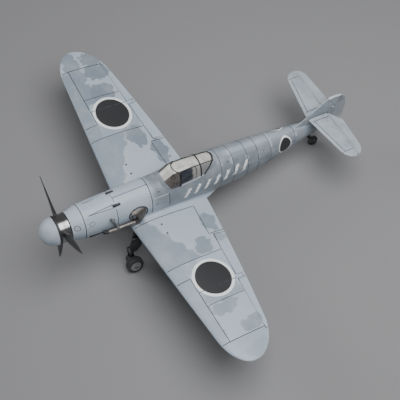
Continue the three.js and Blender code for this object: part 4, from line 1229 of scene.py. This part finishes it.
# ---- spinner and propeller ----
SHAFT = ((0, 0, 0), (0, 1, 0))
BLADES = {"pitch": radians(17), "tip": 28.6, "turns": [radians(31.2) + k * 2 * pi / 3 for k in range(3)]}
# distance from the shaft, width, thickness
BLADE_SECTIONS = [
    (1.5, 2.2, 2.2),
    (7, 2.4, 2.0),
    (12, 4.3, 1.1),
    (18, 3.7, 0.8),
    (24, 2.4, 0.6),
    (BLADES["tip"], 0.5, 0.4),
]


def build_spinner():
    turn = np.linspace(0.02, pi / 2, 40)
    dome = [(SPINNER_R * sin(t), DOME_END - DOME_LENGTH * cos(t)) for t in turn]
    wall = SPINNER_R - 1.1
    inside = [(wall, DOME_END), (wall - 1.1, 5), (0.15, 4)]
    cone = turned("spinner_dome_skin", dome + inside, *SHAFT, "spinner", 96)
    ride(cone, "propeller_unit", "grey_blue_paint", "spinner_dome")
    rim = SPINNER_R + 0.06
    joint = [(6.2, 8.1), (rim - 0.05, 8.1), (rim, 8.2), (rim, 9.3), (rim - 0.05, 9.4), (6.2, 9.4)]
    ride(turned("spinner_joint", joint, *SHAFT, "black", 96), "propeller_unit", "black_plastic")
    front, rear = RING
    edge = SPINNER_R - 0.12
    outline = [(wall, front), (edge, front), (SPINNER_R, front + 0.12), (SPINNER_R, rear - 0.12)]
    outline += [(edge, rear), (1.4, rear), (1.4, rear - 0.9), (wall, rear - 0.9)]
    ring = turned("spinner_ring", outline, *SHAFT, "ring", 96)
    holes = []
    for turn in BLADES["turns"]:
        near, far = ((r * cos(turn), PROPELLER_Y, r * sin(turn)) for r in (4, 9))
        holes.append(bar("hole", near, far, 1.36, "gunmetal"))
    carve(ring, "DIFFERENCE", holes)
    ride(ring, "propeller_unit", "bare_metal", "spinner_backplate")


def build_propeller():
    width, depth = table_curves(BLADE_SECTIONS)
    around = full_circle(28)
    blades = []
    for turn in BLADES["turns"]:
        rings = []
        for r in np.concatenate([np.linspace(1.5, 26, 40), np.linspace(26.3, BLADES["tip"] - 0.06, 10)]):
            twist = BLADES["pitch"] * (1.9 - r / BLADES["tip"])
            across = float(width(r)) / 2 * np.cos(around)
            through = float(depth(r)) / 2 * np.sin(around)
            y = across * sin(twist) - through * cos(twist)
            z = across * cos(twist) + through * sin(twist)
            x, up = r * cos(turn) - z * sin(turn), r * sin(turn) + z * cos(turn)
            rings.append(np.stack([x, PROPELLER_Y + y, up], -1))
        blades.append(loft("blade", rings, "blade", sharp=60))
    hub = bar("propeller_blades", (0, 9.65, 0), (0, 13.15, 0), 4.15, "blade", sides=48, bevel=0.3)
    carve(hub, "UNION", blades, 50)
    ride(hub, "propeller_unit", "gunmetal", "propeller")


# ---- air intake and its pipe ----
PIPE = {"x": 10.8, "z": -2.6, "r": 1.15, "front": 33.4, "rear": 48.4}
# up the scoop: centre, half length along the airflow, half depth
SCOOP = [
    (10.8, 48.8, -2.6, 1.3, 1.3),
    (10.8, 50.2, -2.0, 1.8, 1.6),
    (10.5, 51.0, -0.4, 2.8, 1.9),
    (9.9, 51.3, 1.6, 4.1, 2.0),
    (9.1, 51.3, 3.6, 4.7, 1.9),
    (8.2, 51.4, 5.2, 3.9, 1.2),
]
SCOOP_LIP = [(1.35, -0.25), (1.75, -0.25), (1.85, 0.2), (1.5, 0.6), (1.3, 0.3)]
# dark strip on the hull round the scoop, a dark joint and painted shade where the scoop meets the hull: its
# middle and half sizes, in mm and degrees
SCOOP_JOINT_SHADE = {"y": 51.0, "along": 5.3, "turn": 14, "across": 20}


def build_scoop():
    steps = np.linspace(0, 1, len(SCOOP))
    curves = table_curves([(step, *row) for step, row in zip(steps, SCOOP)])
    around = full_circle(40)
    rings = []
    for t in np.linspace(0, 1, 34):
        x, y, z, along, across = (float(curve(t)) for curve in curves)
        u = along * np.cos(around)
        lean = t * pi / 2
        rings.append(np.stack([x + across * np.sin(around), y + u * sin(lean), z - u * cos(lean)], -1))
    scoop = loft("intake_scoop_shell", rings, "pipe", sharp=50)
    carve(scoop, "DIFFERENCE", [bar("mouth", (9.4, 43, 3.2), (9.4, 50.4, 3.0), 1.45, "wash", 1.0)])
    carve(scoop, "UNION", [turned("lip", SCOOP_LIP, (9.4, 46.9, 3.15), (0, 1, -0.03), "pipe", 40)], 40)
    fix(scoop, "bare_metal", "intake_scoop")


def build_scoop_joint_shade():
    outline = []
    for t in np.linspace(0, 2 * pi, 40):
        turn = radians(SCOOP_JOINT_SHADE["turn"] + SCOOP_JOINT_SHADE["across"] * sin(t))
        outline.append(hull_point(SCOOP_JOINT_SHADE["y"] + SCOOP_JOINT_SHADE["along"] * cos(t), turn, 0.05))
    # a dark joint line and painted shade round the scoop's foot
    fix(tube("scoop_joint_shade", outline, 0.3, "black", 12), "black_plastic")


def build_pipe():
    front = np.array([PIPE["x"] - 0.2, PIPE["front"], PIPE["z"] + 0.2])
    rear = np.array([PIPE["x"], PIPE["rear"] + 0.3, PIPE["z"]])
    pipe = bar("intake_pipe_tube", front, rear, PIPE["r"], "darkpipe", sides=40, bevel=0.1)
    edge = PIPE["r"] + 0.12
    outline = [(0.9, -0.35), (edge, -0.35), (PIPE["r"] + 0.2, 0), (edge, 0.35), (0.9, 0.35)]
    bands = []
    for share in (0.12, 0.86):
        centre = front + share * (rear - front)
        bands.append(turned("band", outline, centre, (0.013, 1, -0.013), "darkpipe", 40))
    fix(carve(pipe, "UNION", bands, 40), "bare_metal", "intake_pipe")
    elbow = bar("pipe_end_elbow", (10.4, 31, -1.8), (10.6, 33.3, -2.4), 0.9, "black", 1.1, 28, 0.15)
    stub = bar("stub", (10.4, 31, -3), (10.4, 31, -0.2), 0.5, "black", sides=20, bevel=0.1)
    fix(carve(elbow, "UNION", [stub], 40), "black_plastic", "pipe_end_fitting")
    path = [(10.3, 38.6, -0.9), (9.9, 36.9, 2.4), (8.7, 35, 6.4)]
    strap = tube("pipe_bracket", path, (0.5, 0.55, 0.6), "bracket", 20, round_ends=0.12)
    saddle = settle(box("saddle", (9.6, 11.5), (37.8, 39.4), (-1.45, -0.5), "bracket", 0.2))
    knob = bar("knob", (9.3, 35.4, 6.1), (10.6, 35.6, 7.3), 0.75, "bracket", 1.05, 24, 0.15)
    fix(carve(strap, "UNION", [saddle, knob], 40), "black_plastic", "pipe_strap")


def build_exhausts():
    """Six flared stubs in each slot, on a backing strip."""
    first, last, z = EXHAUST["from"], EXHAUST["to"], EXHAUST["z"]
    pitch = (last - first) / EXHAUST["stubs"]
    for side, name in SIDES:
        span = sorted((side * 7.2, side * 7.9))
        strip = box("exhaust_stubs_" + name, span, (first + 0.2, last - 0.2), (z - 0.6, z + 0.6), "exhaust")
        stubs, bores = [], []
        for k in range(EXHAUST["stubs"]):
            y = first + (k + 0.5) * pitch
            end = np.array([side * EXHAUST["reach"], y + 0.1, z])
            stubs.append(bar("stub", (side * 7.6, y - 0.35, z), end, 0.45, "exhaust", 0.57, 20, 0.08))
            inner, outer = end - (side * 0.6, 0, 0), end + (side * 0.5, 0, 0)
            bores.append(bar("bore", inner, outer, 0.3, "wash", sides=14))
        carve(strip, "UNION", stubs, 40)
        fix(carve(strip, "DIFFERENCE", bores, 40), "gunmetal", "exhaust_" + name)


# ---- undercarriage ----
AXLE_R = 0.8
AXLE_BORE = AXLE_R + 0.12
WHEEL_DISC = [(AXLE_BORE, -1.9), (2.95, -1.9), (2.95, 2.0), (2.7, 2.1), (2.45, 1.75), (1.35, 1.65)]
WHEEL_DISC += [(1.15, 2.15), (AXLE_BORE, 2.15)]
TAIL_DISC = [(0.56, -1), (0.9, -1), (1.6, -0.65), (1.6, 0.65), (0.9, 1), (0.56, 1)]
BRAKE_DRUM = [(0.92, -6.55), (2.45, -6.55), (2.65, -6.3), (2.65, -3.0), (2.4, -2.75), (0.92, -2.75)]
LEG_DOOR = [(44.6, -10.2), (52.2, -10.6), (51.8, -20), (49.6, -25), (45.6, -25), (44.4, -19)]


def tyre_outline(r, half, bore, shoulder, grooves=()):
    """Outline of a tyre from its inner bead round the tread and back: (radius, place along the axle)."""
    turn = np.linspace(0, pi / 2, 8)
    out = [(bore, -half + 0.5), (r - shoulder - 0.5, -half)]
    out += [(r - shoulder + shoulder * sin(t), -half + shoulder * (1 - cos(t))) for t in turn]
    for place in grooves:
        out += [(r, place - 0.16), (r - 0.2, place - 0.06), (r - 0.2, place + 0.06), (r, place + 0.16)]
    out += [(r - shoulder + shoulder * cos(t), half - shoulder * (1 - sin(t))) for t in turn]
    return out + [(r - shoulder - 0.5, half), (bore, half - 0.5)]


def build_wheel(side, name):
    body = "wheel_" + name
    centre, axis = joint_line(body + "_roll")
    axis = axis * side * np.sign(axis[0])
    tread = tyre_outline(4.79, 2.15, 3.1, 1.1, (-0.6, 0, 0.6))
    tyre = turned("tyre_rubber_" + name, tread, centre, axis, "rubber", 96, 40)
    ride(tyre, body, "tyre_rubber", "tyre_" + name)
    hub = turned("wheel_disc_" + name, WHEEL_DISC, centre, axis, "hub")
    u, v = cross_frame(axis)

    def on_disc(turn, out, along):
        return centre + out * (cos(turn) * u + sin(turn) * v) + along * axis

    spokes, nuts = [], []
    for k in range(6):
        turn = k * pi / 3
        spokes.append(bar("spoke", on_disc(turn, 1.1, 1.75), on_disc(turn, 2.6, 1.8), 0.24, "hub", sides=12))
        turn += pi / 6
        nuts.append(bar("nut", on_disc(turn, 1.9, 1.5), on_disc(turn, 1.9, 1.95), 0.25, "steel", sides=6))
    ride(carve(hub, "UNION", spokes + nuts), body, "bare_metal", "wheel_hub_" + name)
    pin_ends = centre - 6.1 * axis, centre + 2.7 * axis
    axle = bar("axle_pin_" + name, *pin_ends, AXLE_R - 0.02, "steel", sides=28, bevel=0.15)
    cap = bar("cap", centre + 2.5 * axis, centre + 2.98 * axis, 1.02, "steel", 0.86, 28, 0.15)
    fix(carve(axle, "UNION", [cap], 40), "steel_wire", "axle_" + name)


def build_leg(side, name):
    """A main leg with its brake drum, scissor links and hose, and its door with two clips."""
    centre, axis = joint_line("wheel_" + name + "_roll")
    axis = axis * side * np.sign(axis[0])
    top = np.array([side * 13.4, 48.6, -6.6])
    foot = centre - 5.5 * axis
    leg = foot - top
    middle = top + 0.55 * leg
    drum = turned("leg_strut_" + name, BRAKE_DRUM, centre, axis, "black", 48)
    parts = [
        bar("sleeve", top, middle, 1.45, "black", sides=32, bevel=0.2),
        bar("rod", middle - 0.2 * leg, foot, 0.95, "steel", sides=28),
        bar("collar", middle - 0.04 * leg, middle + 0.01 * leg, 1.62, "black", sides=32, bevel=0.1),
    ]
    line = [foot + (0, 1.2, 0.8), foot - 0.3 * leg + (0, 1.5, 0), middle + (0, 1.6, 0), top + (0, 1.7, -1)]
    parts.append(tube("brake_hose", line, 0.22, "rubber", 10))
    hinge = np.array([side * 13.9, 44.6, -23.2])
    for _, y, z in (middle + (0, -1.2, 0.6), foot + (0, -0.8, 1.6)):
        parts.append(bar("link", hinge, (hinge[0], y, z), 0.45, "black", sides=14, bevel=0.1))
    parts.append(short_bar("pin", hinge, (0.9, 0, 0), 0.4, "steel", 14, 0.08))
    carve(drum, "UNION", parts, 40)
    bore = bar("bore", centre - 7.5 * axis, centre - 2 * axis, AXLE_R + 0.08, "black", sides=28)
    fix(carve(drum, "DIFFERENCE", [bore], 40), "black_plastic", "main_leg_" + name)
    span = sorted((side * 15.75, side * 16.45))
    # the door is coloured dark as painted shade under the wing
    fix(prism("leg_door_" + name, LEG_DOOR, *span, "door", 0.22), "black_plastic", "gear_door_" + name)
    for k, z in enumerate((-13.5, -20.5)):
        ends = (side * 13.9, 48, z), (side * 15.8, 48, z)
        fix(bar("door_clip_%s_%d" % (name, k), *ends, 0.4, "black", sides=14, bevel=0.1), "black_plastic")


def build_tail_wheel():
    centre, axis = joint_line("tail_wheel_roll")
    tyre = turned("tail_tyre_rubber", tyre_outline(3.2, 1.15, 1.7, 0.7), centre, axis, "rubber", 72, 40)
    ride(tyre, "tail_wheel", "tyre_rubber", "tail_tyre")
    disc = turned("tail_wheel_disc", TAIL_DISC, centre, axis, "hub", 48)
    ride(disc, "tail_wheel", "bare_metal", "tail_hub")
    fix(short_bar("tail_axle_pin", centre, 2.65 * axis, 0.48, "steel", 20, 0.12), "steel_wire", "tail_axle")
    top, foot = (0, 167.4, 2.6), (0, 170, -5.8)
    post = bar("tail_fork", top, foot, 0.84, "black", sides=24)
    parts = [short_bar("bridge", foot, (2.3, 0, 0), 0.78, "black", 24, 0.15)]
    for x in (-2.1, 2.1):
        low = (x, *centre[1:])
        parts.append(bar("arm", low, (x, *foot[1:]), 0.5, "black", 0.68, 20))
        parts.append(short_bar("eye", low, (0.48, 0, 0), 1.05, "black", 28, 0.12))
    carve(post, "UNION", parts, 40)
    carve(post, "DIFFERENCE", [short_bar("hole", centre, 4 * axis, 0.55, "black", 20)], 40)
    fix(post, "black_plastic", "tail_leg")


# ---- CAD nodes that are shown as they are ----
KEPT = {
    "gunmetal": ("gun_left", "gun_right"),
    "black": ("shaft_bush", "instrument_panel", "control_stick"),
    "interior": ("cockpit_tub", "seat"),
    "plain": ("oil_cooler", "radiator_left", "radiator_right"),
    "steel": ("propeller_shaft", "hinge_wire_left", "hinge_wire_right", "rudder_pin", "elevator_rod"),
}


def dress_kept_nodes():
    for look, names in KEPT.items():
        for name in names:
            obj = frame["nodes"][name]
            obj.data.materials.clear()
            obj.data.materials.append(MATERIALS[look])
            weld = obj.modifiers.new("weld", "WELD")
            weld.merge_threshold = 0.01 * MM
            soften(obj, 0.12, 40)


# ---- build ----
build_fuselage()
build_wing()
build_fillets()
build_canopy()
build_cockpit()
build_fin()
build_rudder()
build_tailplane()
build_spinner()
build_propeller()
build_scoop()
build_pipe()
build_scoop_joint_shade()
build_exhausts()
for wheel_side in SIDES:
    build_wheel(*wheel_side)
    build_leg(*wheel_side)
build_tail_wheel()
dress_kept_nodes()

# ---- floor, light and camera ----
floor_paint = Nodes("floor", 0.6)
floor_paint.inputs["Specular IOR Level"].default_value = 0.1
MATERIALS["floor"] = floor_paint.finish(linear(142, 142, 144))
REACH = 3.0
corners = [(-REACH, -REACH, 0), (REACH, -REACH, 0), (REACH, REACH, 0), (-REACH, REACH, 0)]
mesh_object("floor", corners, [(0, 1, 2, 3)], "floor")


def aim(obj, place, target, roll=0.0):
    """Puts a lamp or camera in the scene, looking from its place at the target."""
    look = Vector(target) - Vector(place)
    obj.location = place
    obj.rotation_mode = "QUATERNION"
    upright = Matrix.Rotation(roll, 3, look.normalized()).to_quaternion()
    obj.rotation_quaternion = upright @ look.to_track_quat("-Z", "Y")
    bpy.context.scene.collection.objects.link(obj)


# place, target, size, power
LAMPS = {
    "key": ((0.1, 0.07, 0.46), (0, 0, 0), 0.4, 2.3),
    "front": ((-0.8, -0.7, 0.6), (0, 0, 0.03), 0.6, 3.5),
    "side": ((0.9, -0.3, 0.8), (0, 0, 0.03), 0.8, 0.45),
}
for lamp_name, (lamp_place, lamp_target, size, power) in LAMPS.items():
    lamp = bpy.data.lights.new(lamp_name, "AREA")
    lamp.shape = "DISK"
    lamp.size = size
    lamp.energy = power
    aim(bpy.data.objects.new(lamp_name, lamp), lamp_place, lamp_target)

sky = bpy.data.worlds.new("studio")
bpy.context.scene.world = sky
sky.use_nodes = True
background = sky.node_tree.nodes["Background"].inputs
background["Color"].default_value = (1, 1, 1, 1)
background["Strength"].default_value = 0.2

CAMERA = {"place": (183.16, -78.66, 351.63), "target": (12.82, 87.2, -3.19), "roll": radians(-0.18)}
lens = bpy.data.cameras.new("camera")
lens.lens = 71.2
lens.sensor_width = 36
lens.clip_start = 0.01
camera = bpy.data.objects.new("camera", lens)
aim(camera, world(CAMERA["place"]), world(CAMERA["target"]), CAMERA["roll"])
bpy.context.scene.camera = camera
